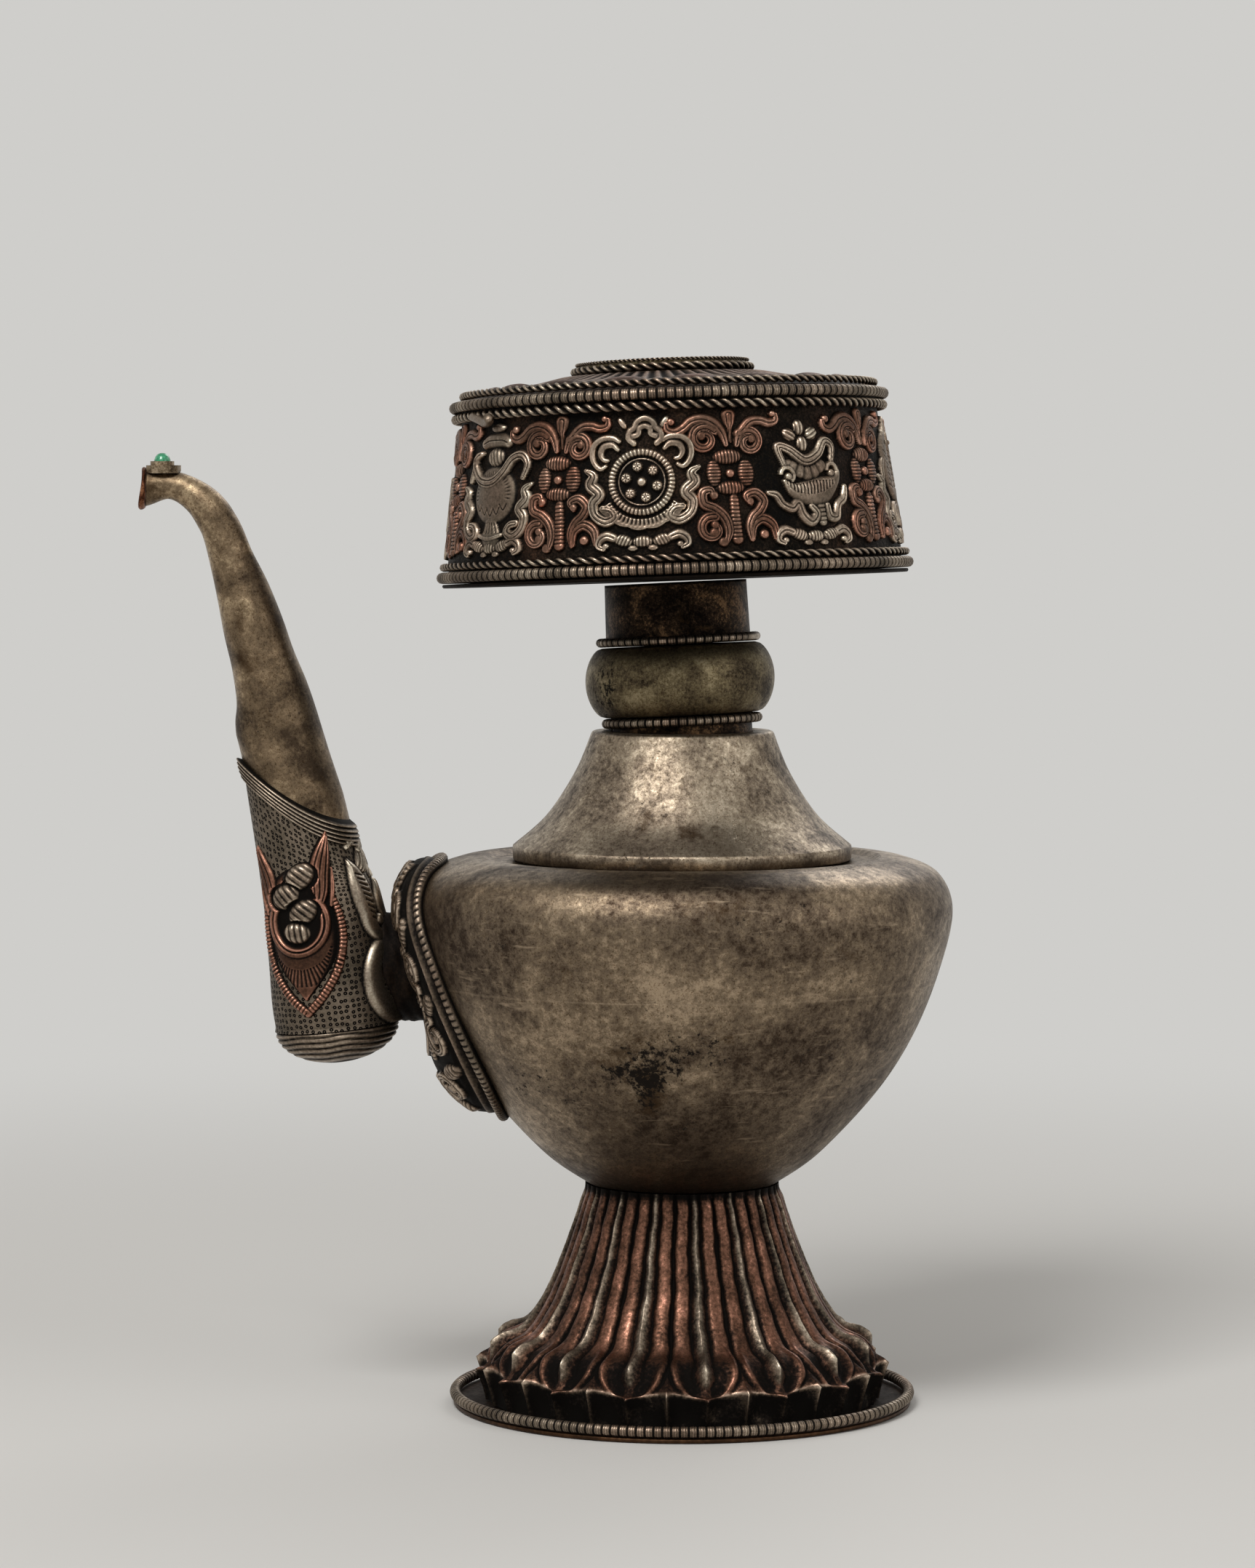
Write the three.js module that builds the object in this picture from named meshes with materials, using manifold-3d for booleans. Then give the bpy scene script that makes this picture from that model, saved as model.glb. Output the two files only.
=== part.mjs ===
// Ritual vase with a long spout, made of silver and copper sheet, rolled wire and one turquoise.
// Millimetres, +Z up. The origin is the centre of the base plate's underside and the spout points to -X.
// The vessel stands still. The upper section plugs into the bell with a loose spigot and lifts out.
import * as THREE from "three";
import { mergeVertices } from "three/addons/utils/BufferGeometryUtils.js";
import Module from "manifold-3d";

const wasm = await Module();
wasm.setup();

// Fits and working values shared by all pieces
const seat_gap = 0.3; // solder film between two fixed pieces
const spigot_clearance = 0.7; // loose fit of the spigot in the mouth of the bell
const weld_distance = 0.0005; // points closer than this are one point

// Numbers of flats
const round_flat_count = 32;
const spout_flat_count = 20;
const wire_flat_count = 5;
const small_flat_count = 12;

// Base plate and its beaded wire
const plate_radius = 61.7;
const plate_thickness = 1.1;
const base_wire_diameter = 3;
const base_wire_inset = 0.5; // the wire's centre line lies this far inside the plate's edge

// Lotus foot
const foot_radius = 53.9; // over the petal edge
const foot_heel_radius = 52.3;
const foot_wall = 1.1;
const foot_top = 59.7;
const stem_radius = 25.7;
const petal_count = 16;
const petal_edge_height = 11;
const petal_lobe = 0.9; // how far the petals swell past the round
const petal_turn = 6.5; // degrees from the front to the first petal tip
const petal_rib_height = 1.25;
const petal_rib_run = 7; // the ribs reach their height this far above the petals' edge
const petal_rib_fade = 8; // and lose it over this much below the foot's top
const petal_rib_shares = [1, -0.2, 0.5, -0.5]; // a rib, its groove, a flute and the parting between petals
const foot_flat_count = petal_count * (petal_rib_shares.length - 1) * 2;
const foot_flare_shares = [
  [1, 0],
  [0.823, 0.125],
  [0.613, 0.175],
  [0.461, 0.283],
  [0.312, 0.446],
  [0.149, 0.69],
  [0.011, 0.934],
  [0, 1],
];

// Bowl, in two halves
const belly_radius = 72.5;
const bowl_bottom = 60;
const shoulder_height = 147.8;
const bowl_wall = 1.2;
const seam_drop = 33.2; // the seam of the two halves lies this far below the shoulder
const seam_height = shoulder_height - seam_drop;
const bowl_steps = 7; // flats up each half
const moat_depth = 1.3; // the bell stands in a ring sunk this deep in the shoulder
const moat_lip = 2; // slant of the ring's outer side
const bowl_mouth_radius = 41.5;
const bowl_curve_shares = [
  [0, 0],
  [0.249, 0.094],
  [0.558, 0.274],
  [0.772, 0.453],
  [0.916, 0.633],
  [1, 0.831],
  [0.926, 0.945],
  [0.742, 0.991],
  [0.591, 1],
];

// Bell collar
const bell_rim_radius = 45.4;
const bell_rim_height = 3.9;
const bell_top_radius = 24.5;
const bell_top = 181.4;
const bell_wall = 1.2;
const bell_top_round = 0.6;
const bell_steps = 5;
const bell_curve_shares = [
  [1, 0],
  [0.564, 0.268],
  [0.206, 0.65],
  [0, 1],
];

// Upper section: its own heights are measured up the leaning axis from the underside of its lowest ring
const lean_left = 2.8; // degrees towards the spout
const lean_back = 1.7; // degrees away from the front
const spigot_radius = 18.7;
const spigot_length = 16;
const neck_wall = 1.1;
const lower_ring_diameter = 2.6;
const knop_radius = 25.4;
const knop_neck_radius = 20.5;
const knop_height = 18.6;
const knop_steps = 7;
const upper_ring_diameter = 2.4;
const neck_foot_radius = 19.4;
const neck_top_radius = 19;
const neck_height = 16.5;

// Crown
const crown_lean = 0.7; // degrees back upright, against the lean of the neck
const crown_plate_radius = 63;
const crown_plate_thickness = 1;
const crown_wall = 1.2;
const crown_foot_radius = 60.6;
const crown_top_radius = 55.5;
const crown_foot_height = 5.7; // straight foot of the band, behind its two wires
const frieze_height = 36.6;
const crown_rim_height = 4.8; // straight rim of the band, behind its two upper wires
const bottom_bead_diameter = 3;
const bottom_rope_diameter = 2;
const lower_rope_diameter = 2.5;
const top_bead_diameter = 3;
const upper_rope_diameter = 2;
const lid_wall = 0.9;
const lid_rim = 2.4; // flat rim of the lid that carries the upper rope
const lid_rise = 5.4;
const lid_slope_shares = [
  [1, 0],
  [0.87, 0.35],
  [0.48, 0.58],
  [0.12, 1],
  [0, 1],
];

// Mouth
const mouth_shift = -1.4; // off the crown's axis, towards the spout
const mouth_radius = 21; // bore
const mouth_wall = 1.1;
const mouth_height = 3.3;
const mouth_rope_diameter = 2.2;
const lip_wire_diameter = 0.9;

// Plaques on the crown
const symbol_names = ["wheel", "vase", "banner", "knot", "conch", "lotus", "fishes", "parasol"];
const symbol_turn = -8.1; // degrees from the front to the wheel
const plaque_relief = 1.2;
const symbol_width = 28;
const symbol_height = 35;
const flower_width = 30;
const flower_height = 34;
const plaque_rings = 2;
const symbol_outline_shares = [
  [1, 0.92, 0.72, 0.85],
  [1, 0.85, 0.72, 0.92],
  [1, 0.95, 0.95, 0.95],
  [0.98, 0.95, 0.95, 0.95],
].flat();
const flower_outline_shares = [
  [0.39, 0.61, 1.22, 1],
  [0.95, 1, 1.22, 0.61],
  [0.39, 0.58, 0.9, 1.08],
  [1, 1.08, 0.9, 0.58],
].flat();

// Escutcheon behind the spout
const escutcheon_half_width = 27.8;
const escutcheon_half_height = 37.5;
const escutcheon_drop = 36.3; // its centre lies this far below the shoulder
const escutcheon_centre_height = shoulder_height - escutcheon_drop;
const escutcheon_rim_height = 5.4;
const escutcheon_bulge = 6;
const escutcheon_bulge_span = 24; // the bulge is full this far below the centre
const escutcheon_wall = 1.3;
const escutcheon_flat_count = 28;
const escutcheon_rope_diameter = 2;
const escutcheon_ring_shares = [0.3, 0.55, 0.78, 0.93];

// Socket between the bowl and the spout
const socket_rise = 6.5; // height of its axis over the escutcheon's centre
const socket_height = escutcheon_centre_height + socket_rise;
const socket_half_height = 14.5;
const socket_half_width = 10.5;
const socket_wall = 3;

// Spout: distances along it are measured up its curved axis from the cap's seam
const spout_standoff = 20.1; // from the belly's widest place to the foot of the spout's axis
const spout_overhang = 52; // from there to the mouth
const spout_foot_drop = 18; // the foot of the axis lies this far below the socket's axis
const spout_rise = 146.2; // from the foot of the axis to the mouth
const spout_foot_reach = belly_radius + spout_standoff;
const spout_foot_height = socket_height - spout_foot_drop;
const spout_wall = 0.9;
const spout_axis_shares = [
  [0, 0],
  [0.046, 0.15],
  [0.18, 0.402],
  [0.409, 0.722],
  [0.519, 0.856],
  [0.604, 0.935],
  [0.699, 0.98],
  [0.838, 1.006],
  [1, 1],
];

// Boot, its cap, its band and its two medallions
const boot_wall = 0.9;
const boot_seam = 2; // the boot starts this far above the axis's foot
const boot_foot_radius = 16.4;
const boot_belly_radius = 16.8;
const boot_length = 64;
const boot_slant = 0.92; // how much the top edge drops for each millimetre towards the vase
const boot_droop = 3; // how much further it drops at the front and the back
const boot_steps = 7;
const boot_belly_share = 0.16;
const boot_waist_share = 0.3;
const cap_depth = 9.6;
const cap_steps = 4;
const band_width = 5.5;
const band_thickness = 0.6;
const medallion_half_width = 12;
const medallion_half_height = 23.5;
const medallion_place = 29; // distance of its centre up the axis
const medallion_turn = -22; // degrees from the front, and as many from the back
const medallion_outline_shares = [
  [0.86, 0.9, 0.84, 0.86],
  [1, 0.86, 0.84, 0.9],
  [0.86, 0.92, 0.9, 0.86],
  [1, 0.86, 0.9, 0.92],
].flat();

// Horn, lip and stone
const horn_root_radius = 12.1;
const horn_taper_start = 74;
const horn_throat_radius = 5.2;
const horn_throat_place = 141;
const beak_radius = 3.8; // the narrowest place
const beak_place = 8; // distance of the narrowest place from the mouth
const horn_mouth_radius = 4.9;
const horn_steps = 9; // from the boot to the throat
const beak_steps = 7; // from the throat to the mouth
const lip_width = 1.2;
const lip_proud = 0.7;
const mouth_slant = 0.2;
const bezel_radius = 5;
const bezel_place = 6; // distance of its centre from the mouth, down the axis
const bezel_plate_height = 1;
const bezel_skirt = 0.8; // how far the saddle reaches down the sides of the horn
const bezel_cup_height = 1.1;
const bezel_cup_wall = 0.6;
const stone_radius = 2.3;
const stone_height = 3;
const stone_steps = 4;

// Materials
const silver = new THREE.MeshStandardMaterial({ color: "#8d7d66", metalness: 0.9, roughness: 0.42 });
const dark_silver = new THREE.MeshStandardMaterial({ color: "#5b5042", metalness: 0.85, roughness: 0.55 });
const copper = new THREE.MeshStandardMaterial({ color: "#9a6243", metalness: 0.9, roughness: 0.45 });
const turquoise = new THREE.MeshStandardMaterial({ color: "#3a9a78", metalness: 0, roughness: 0.35 });

const radians = THREE.MathUtils.degToRad;
const smooth = THREE.MathUtils.smoothstep;

// Points and sections

function point(x, y) {
  return new THREE.Vector2(x, y);
}

// Shares of a width and a height, laid from an inner radius and a bottom.
function laid(shares, inner, outer, bottom, top) {
  const width = outer - inner;
  const height = top - bottom;
  return shares.map(([across, up]) => point(inner + across * width, bottom + up * height));
}

// The line moved to its left by a distance, with mitred corners.
function moved(line, distance) {
  return line.map((at, i) => {
    const before = line[Math.max(i - 1, 0)];
    const after = line[Math.min(i + 1, line.length - 1)];
    const one = (i > 0 ? at.clone().sub(before) : after.clone().sub(at)).normalize();
    const two = (i < line.length - 1 ? after.clone().sub(at) : at.clone().sub(before)).normalize();
    const middle = one.clone().add(two).normalize();
    const length = distance / Math.max(middle.dot(one), 0.5);
    return point(at.x - middle.y * length, at.y + middle.x * length);
  });
}

// The section of a sheet of one thickness whose outer face is the line.
function sheet(line, wall) {
  return [...line, ...moved(line, wall).reverse()];
}

function area(section) {
  return THREE.ShapeUtils.area(section);
}

// The share of a curve's length at which it reaches a height.
function shareAt(curve, height) {
  let low = 0;
  let high = 1;
  for (let i = 0; i < 40; i += 1) {
    const middle = (low + high) / 2;
    if (curve.getPointAt(middle).y < height) low = middle;
    else high = middle;
  }
  return low;
}

function stretch(curve, from, to, steps) {
  return Array.from({ length: steps + 1 }, (_, i) => curve.getPointAt(from + ((to - from) * i) / steps));
}

function circle(across, up, radius, flats) {
  return Array.from({ length: flats }, (_, i) => {
    const turn = (2 * Math.PI * (i + 0.5)) / flats;
    return point(across + radius * Math.cos(turn), up + radius * Math.sin(turn));
  });
}

// Solids

// One point for each place, and no triangle without area.
function welded(geometry) {
  const bare = new THREE.BufferGeometry();
  bare.setAttribute("position", geometry.getAttribute("position"));
  bare.setIndex(geometry.getIndex());
  const merged = mergeVertices(bare, weld_distance);
  const corners = merged.getIndex().array;
  const kept = [];
  for (let i = 0; i < corners.length; i += 3) {
    const [a, b, c] = corners.slice(i, i + 3);
    if (a !== b && b !== c && c !== a) kept.push(a, b, c);
  }
  merged.setIndex(kept);
  return merged;
}

// A section turned round the Z axis.
function spun(section, flats = round_flat_count) {
  const outwards = area(section) < 0 ? [...section].reverse() : [...section];
  const onAxis = outwards.filter((at) => at.x === 0).length > 1;
  if (!onAxis) outwards.push(outwards[0]);
  else while (outwards[0].x !== 0 || outwards[outwards.length - 1].x !== 0) outwards.push(outwards.shift());
  const geometry = new THREE.LatheGeometry(outwards, flats);
  geometry.rotateX(Math.PI / 2);
  return welded(geometry);
}

function ring(radius, height, diameter, flats = round_flat_count) {
  return spun(circle(radius, height, diameter / 2, wire_flat_count), flats);
}

// Every point of a geometry carried to the place that a surface gives it.
function carried(geometry, place) {
  const positions = geometry.getAttribute("position");
  const at = new THREE.Vector3();
  for (let i = 0; i < positions.count; i += 1) {
    at.fromBufferAttribute(positions, i);
    const to = place(at.x, at.y, at.z);
    positions.setXYZ(i, to.x, to.y, to.z);
  }
  return geometry;
}

function solid(geometry) {
  const vertProperties = new Float32Array(geometry.getAttribute("position").array);
  const triVerts = new Uint32Array(geometry.getIndex().array);
  return new wasm.Manifold(new wasm.Mesh({ numProp: 3, vertProperties, triVerts }));
}

function surfaceOf(manifold) {
  const mesh = manifold.getMesh();
  const geometry = new THREE.BufferGeometry();
  geometry.setAttribute("position", new THREE.BufferAttribute(mesh.vertProperties, 3));
  geometry.setIndex(new THREE.BufferAttribute(mesh.triVerts, 1));
  return geometry;
}

function cut(geometry, ...cutters) {
  return surfaceOf(cutters.reduce((rest, cutter) => rest.subtract(solid(cutter)), solid(geometry)));
}

function piece(group, name, geometry, material) {
  const mesh = new THREE.Mesh(geometry, material);
  geometry.computeVertexNormals();
  mesh.name = name;
  group.add(mesh);
}

// A domed plate with a wavy outline, given as shares of its half width and half height at even turns.
function plaque(outline, halfWidth, halfHeight, relief) {
  const rise = (share) => seat_gap + relief * (1 - 0.4 * share * share);
  const ring_shares = Array.from({ length: plaque_rings + 1 }, (_, i) => i / plaque_rings);
  const top = ring_shares.map((share) => point(share, rise(share)));
  const bottom = [...top].reverse().map((at) => point(at.x, seat_gap));
  const flats = outline.length;
  return carried(spun([...top, ...bottom], flats), (x, y, h) => {
    const turn = Math.atan2(y, x);
    const edge = outline[(Math.round((turn / (2 * Math.PI)) * flats) + flats) % flats];
    return new THREE.Vector3(x * edge * halfWidth, y * edge * halfHeight, h);
  });
}

// Surfaces that carry other pieces: each takes a place across, a place up and a height off the surface

const bowl_curve = new THREE.SplineCurve(
  laid(bowl_curve_shares, stem_radius, belly_radius, bowl_bottom, shoulder_height),
);
const bowl_curve_length = bowl_curve.getLength();
const escutcheon_centre = shareAt(bowl_curve, escutcheon_centre_height) * bowl_curve_length;

// Up is along the bowl's outline, past its ends too.
function onBowl(across, up, off) {
  const along = escutcheon_centre + up;
  const share = THREE.MathUtils.clamp(along / bowl_curve_length, 0, 1);
  const way = bowl_curve.getTangentAt(share);
  const at = bowl_curve.getPointAt(share).addScaledVector(way, along - share * bowl_curve_length);
  const radius = at.x + off * way.y;
  const turn = Math.PI + across / at.x;
  return new THREE.Vector3(radius * Math.cos(turn), radius * Math.sin(turn), at.y - off * way.x);
}

const spout_axis = new THREE.CatmullRomCurve3(
  spout_axis_shares.map(([out, up]) => {
    const reach = spout_foot_reach + out * spout_overhang;
    return new THREE.Vector3(-reach, 0, spout_foot_height + up * spout_rise);
  }),
);
const spout_length = spout_axis.getLength();

// Across is towards the vase, side is towards the back, and along is up the axis, past its ends too.
function onSpout(across, side, along) {
  const share = THREE.MathUtils.clamp(along / spout_length, 0, 1);
  const way = spout_axis.getTangentAt(share);
  const at = spout_axis.getPointAt(share).addScaledVector(way, along - share * spout_length);
  return new THREE.Vector3(at.x + across * way.z, side, at.z - across * way.x);
}

const boot_waist_radius = boot_belly_radius + boot_waist_share * (horn_root_radius - boot_belly_radius);
const boot_curve = new THREE.SplineCurve([
  point(boot_foot_radius, boot_seam),
  point(boot_belly_radius, boot_seam + boot_belly_share * boot_length),
  point(boot_waist_radius, boot_seam + boot_length / 2),
  point(horn_root_radius, boot_seam + boot_length),
]);

function bootRadius(along) {
  return boot_curve.getPointAt(shareAt(boot_curve, along)).x;
}

function onBoot(turn) {
  return (across, up, off) => {
    const along = medallion_place + up;
    const radius = bootRadius(along);
    const way = radians(turn) + across / radius;
    return onSpout((radius + off) * Math.cos(way), (radius + off) * Math.sin(way), along);
  };
}

const beak_start = spout_length - beak_place;
const lip_place = spout_length - lip_width;

function hornRadius(along) {
  const taper = (along - horn_taper_start) / (horn_throat_place - horn_taper_start);
  const drawn = THREE.MathUtils.clamp(taper, 0, 1) * (horn_throat_radius - horn_root_radius);
  const narrowing = smooth(along, horn_throat_place, beak_start) * (beak_radius - horn_throat_radius);
  const flare = smooth(along, beak_start, spout_length) * (horn_mouth_radius - beak_radius);
  return horn_root_radius + drawn + narrowing + flare;
}

// Heights of the neck, up its own axis from the underside of its lowest ring
const knop_bottom = lower_ring_diameter + seat_gap;
const neck_bottom = knop_bottom + knop_height + seat_gap;

// Heights of the crown, up its own axis from the underside of its plate
const band_bottom = crown_plate_thickness + seat_gap;
const frieze_bottom = band_bottom + crown_foot_height;
const frieze_top = frieze_bottom + frieze_height;
const band_top = frieze_top + crown_rim_height;
const lid_bottom = band_top + seat_gap;
const mouth_bottom = lid_bottom + lid_wall + lid_rise + seat_gap;

function onBand(turn) {
  return (across, up, off) => {
    const share = THREE.MathUtils.clamp(up / frieze_height + 0.5, 0, 1);
    const radius = crown_foot_radius + share * (crown_top_radius - crown_foot_radius);
    const way = radians(turn - 90) + across / radius;
    return new THREE.Vector3(
      (radius + off) * Math.cos(way),
      (radius + off) * Math.sin(way),
      frieze_bottom + frieze_height / 2 + up,
    );
  };
}

// Vessel

const vase = new THREE.Group();
const vessel = new THREE.Group();
vase.add(vessel);

function addBase() {
  const plate = [
    point(0, 0),
    point(plate_radius, 0),
    point(plate_radius, plate_thickness),
    point(0, plate_thickness),
  ];
  piece(vessel, "base_plate", spun(plate), copper);
  const height = plate_thickness + seat_gap + base_wire_diameter / 2;
  piece(vessel, "base_bead_wire", ring(plate_radius - base_wire_inset, height, base_wire_diameter), silver);
}

// How far the chased ribs stand out at a turn round the foot.
function petalRib(turn) {
  const petals = (petal_count * (turn + Math.PI / 2 - radians(petal_turn))) / (2 * Math.PI);
  const off_rib = Math.abs(petals - Math.round(petals));
  const place = Math.round(off_rib * 2 * (petal_rib_shares.length - 1));
  return petal_rib_shares[place] * petal_rib_height;
}

function addFoot() {
  const bottom = plate_thickness + seat_gap;
  const flare = laid(foot_flare_shares, stem_radius, foot_radius, petal_edge_height, foot_top);
  const heel = point(foot_heel_radius, bottom);
  const section = sheet([heel, ...flare], foot_wall);
  const middle_radius = (stem_radius + foot_radius) / 2;
  const blank = spun(section, foot_flat_count).rotateZ(radians(petal_turn));
  const foot = carried(blank, (x, y, z) => {
    const radius = Math.hypot(x, y);
    const turn = Math.atan2(y, x);
    const swell = smooth(radius, middle_radius, foot_radius) * smooth(z, bottom, petal_edge_height);
    const wave = Math.cos(petal_count * (turn + Math.PI / 2 - radians(petal_turn)));
    const risen = smooth(z, petal_edge_height, petal_edge_height + petal_rib_run);
    const kept = 1 - smooth(z, foot_top - petal_rib_fade, foot_top);
    const rib = petalRib(turn) * risen * kept * Math.SQRT1_2;
    const grown = (radius + petal_lobe * swell * wave + rib) / radius;
    return new THREE.Vector3(x * grown, y * grown, z + rib);
  });
  piece(vessel, "lotus_foot", foot, silver);
}

// A cutter or a tube with the socket's outline, from the middle of the vase outwards.
function socketBlank(halfHeight, halfWidth, from, to) {
  const section = [point(0, from), point(halfHeight, from), point(halfHeight, to), point(0, to)];
  const blank = spun(section, spout_flat_count);
  blank.scale(1, halfWidth / halfHeight, 1);
  blank.rotateY(-Math.PI / 2);
  blank.translate(0, 0, socket_height);
  return blank;
}

const port = socketBlank(
  socket_half_height - socket_wall,
  socket_half_width - socket_wall,
  bowl_mouth_radius,
  spout_foot_reach,
);

function addBowl() {
  const seam = shareAt(bowl_curve, seam_height);
  const half_gap = seat_gap / 2 / bowl_curve_length;
  const lower = [point(0, bowl_bottom), ...stretch(bowl_curve, 0, seam - half_gap, bowl_steps)];
  const lower_section = sheet(lower, bowl_wall);
  lower_section[lower_section.length - 1].x = 0;
  piece(vessel, "bowl_lower", cut(spun(lower_section), port), silver);
  const lip = bowl_curve.getPointAt(1);
  const upper = [
    ...stretch(bowl_curve, seam + half_gap, 1, bowl_steps),
    point(lip.x - moat_lip, lip.y - moat_depth),
    point(bowl_mouth_radius, lip.y - moat_depth),
  ];
  piece(vessel, "bowl_upper", cut(spun(sheet(upper, bowl_wall)), port), silver);
}

function addBell() {
  const bottom = shoulder_height - moat_depth + seat_gap;
  const rim_top = bottom + bell_rim_height;
  const curve = new THREE.SplineCurve(
    laid(bell_curve_shares, bell_top_radius, bell_rim_radius, rim_top, bell_top - bell_top_round),
  );
  const outer = [
    point(bell_rim_radius, bottom),
    ...stretch(curve, 0, 1, bell_steps),
    point(bell_top_radius - bell_top_round, bell_top),
    point(spigot_radius + spigot_clearance, bell_top),
  ];
  piece(vessel, "bell_collar", spun(sheet(outer, bell_wall)), silver);
}

// Escutcheon and spout

function escutcheonHeight(across, up) {
  const out = Math.hypot(across / escutcheon_half_width, up / escutcheon_half_height);
  const dome = escutcheon_bulge * Math.max(1 - out * out, 0);
  return escutcheon_rim_height + dome * smooth(-up, 0, escutcheon_bulge_span);
}

function addEscutcheon() {
  const inner_share = 1 - escutcheon_wall / escutcheon_rim_height;
  const inner_edge = 1 - escutcheon_wall / escutcheon_half_width;
  const section = [
    point(0, 1),
    ...escutcheon_ring_shares.map((share) => point(share, 1)),
    point(1, inner_share),
    point(1, 0),
    point(inner_edge, 0),
    ...[...escutcheon_ring_shares].reverse().map((share) => point(share, inner_share)),
    point(0, inner_share),
  ];
  const plate = carried(spun(section, escutcheon_flat_count), (x, y, share) => {
    const across = x * escutcheon_half_width;
    const up = y * escutcheon_half_height;
    return onBowl(across, up, seat_gap + share * (escutcheonHeight(across, up) - seat_gap));
  });
  const opening = socketBlank(
    socket_half_height + seat_gap,
    socket_half_width + seat_gap,
    bowl_mouth_radius,
    spout_foot_reach,
  );
  piece(vessel, "escutcheon_plate", cut(plate, opening), silver);
  const wire_radius = escutcheon_rope_diameter / 2;
  const rope_place = escutcheon_half_width + seat_gap + wire_radius;
  const rope = ring(rope_place, seat_gap + wire_radius, escutcheon_rope_diameter, escutcheon_flat_count);
  const stretched = escutcheon_half_height / escutcheon_half_width;
  piece(vessel, "escutcheon_rope_wire", carried(rope, (x, y, z) => onBowl(x, y * stretched, z)), silver);
}

// The boot and its cap as one full body, grown by a margin.
function bootEnvelope(margin) {
  const side = stretch(boot_curve, 0, 1, boot_steps).map((at) => point(at.x + margin, at.y));
  const cap = capLine(margin);
  const top = boot_seam + boot_length;
  return carried(spun([...cap, ...side, point(0, top)], spout_flat_count), onSpout);
}

// The cap's outer line, from the axis out to the seam.
function capLine(margin) {
  return Array.from({ length: cap_steps + 1 }, (_, i) => {
    const turn = (Math.PI / 2) * (i / cap_steps);
    const across = i === 0 ? 0 : (boot_foot_radius + margin) * Math.sin(turn);
    return point(across, boot_seam - seat_gap - (cap_depth + margin) * Math.cos(turn));
  });
}

function addSocket() {
  const outer = socketBlank(socket_half_height, socket_half_width, bowl_mouth_radius, spout_foot_reach);
  const bowl_outline = stretch(bowl_curve, 0, 1, bowl_steps * 2).map((at) => point(at.x + seat_gap, at.y));
  const bowl = spun([point(0, bowl_bottom), ...bowl_outline, point(0, shoulder_height)]);
  piece(vessel, "spout_socket", cut(outer, port, bowl, bootEnvelope(seat_gap)), silver);
}

// A place on the spout, with the edge between boot and horn, and the mouth, cut on a slant.
function onSlantedSpout(x, y, along) {
  const edge = boot_seam + boot_length;
  const near_edge = 1 - smooth(Math.abs(along - edge), band_width, boot_length / 2);
  const droop = boot_droop * (y / horn_root_radius) ** 2;
  const near_mouth = smooth(along, horn_throat_place, lip_place - seat_gap);
  return onSpout(x, y, along - (boot_slant * x + droop) * near_edge - mouth_slant * x * near_mouth);
}

function addBoot() {
  const side = stretch(boot_curve, 0, 1, boot_steps);
  const shell = carried(spun(sheet(side, boot_wall), spout_flat_count), onSlantedSpout);
  piece(vessel, "spout_boot", cut(shell, port), silver);
  const cap = sheet(capLine(0), boot_wall);
  cap[cap.length - 1].x = 0;
  piece(vessel, "spout_boot_cap", carried(spun(cap, spout_flat_count), onSpout), silver);
  const top = boot_seam + boot_length;
  const inner = bootRadius(top - band_width) + seat_gap;
  const outer = inner + band_thickness;
  piece(vessel, "spout_boot_band", slantedRing(inner, outer, top - band_width, top), silver);
  const medallions = [
    ["spout_medallion", medallion_turn - 90],
    ["spout_medallion_back", 90 - medallion_turn],
  ];
  for (const [name, turn] of medallions) {
    const outline = medallion_outline_shares;
    const medallion = plaque(outline, medallion_half_width, medallion_half_height, plaque_relief);
    piece(vessel, name, carried(medallion, onBoot(turn)), copper);
  }
}

// The horn's outer line from one place on the axis to another.
function hornLine(from, to, steps, margin) {
  return Array.from({ length: steps + 1 }, (_, i) => {
    const along = from + ((to - from) * i) / steps;
    return point(hornRadius(along) + margin, along);
  });
}

// A slanted ring round the axis, from one place on it to another.
function slantedRing(inner, outer, from, to) {
  const section = [point(inner, from), point(outer, from), point(outer, to), point(inner, to)];
  return carried(spun(section, spout_flat_count), onSlantedSpout);
}

function addHorn() {
  const line = hornLine(boot_seam + boot_length + seat_gap, horn_throat_place, horn_steps, 0);
  line.pop();
  line.push(...hornLine(horn_throat_place, lip_place - seat_gap, beak_steps, 0));
  const horn = spun(sheet(line, spout_wall), spout_flat_count);
  piece(vessel, "spout_horn", carried(horn, onSlantedSpout), silver);
  const inner = horn_mouth_radius - spout_wall;
  const outer = horn_mouth_radius + lip_proud;
  piece(vessel, "spout_lip", slantedRing(inner, outer, lip_place, spout_length), copper);
}

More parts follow.
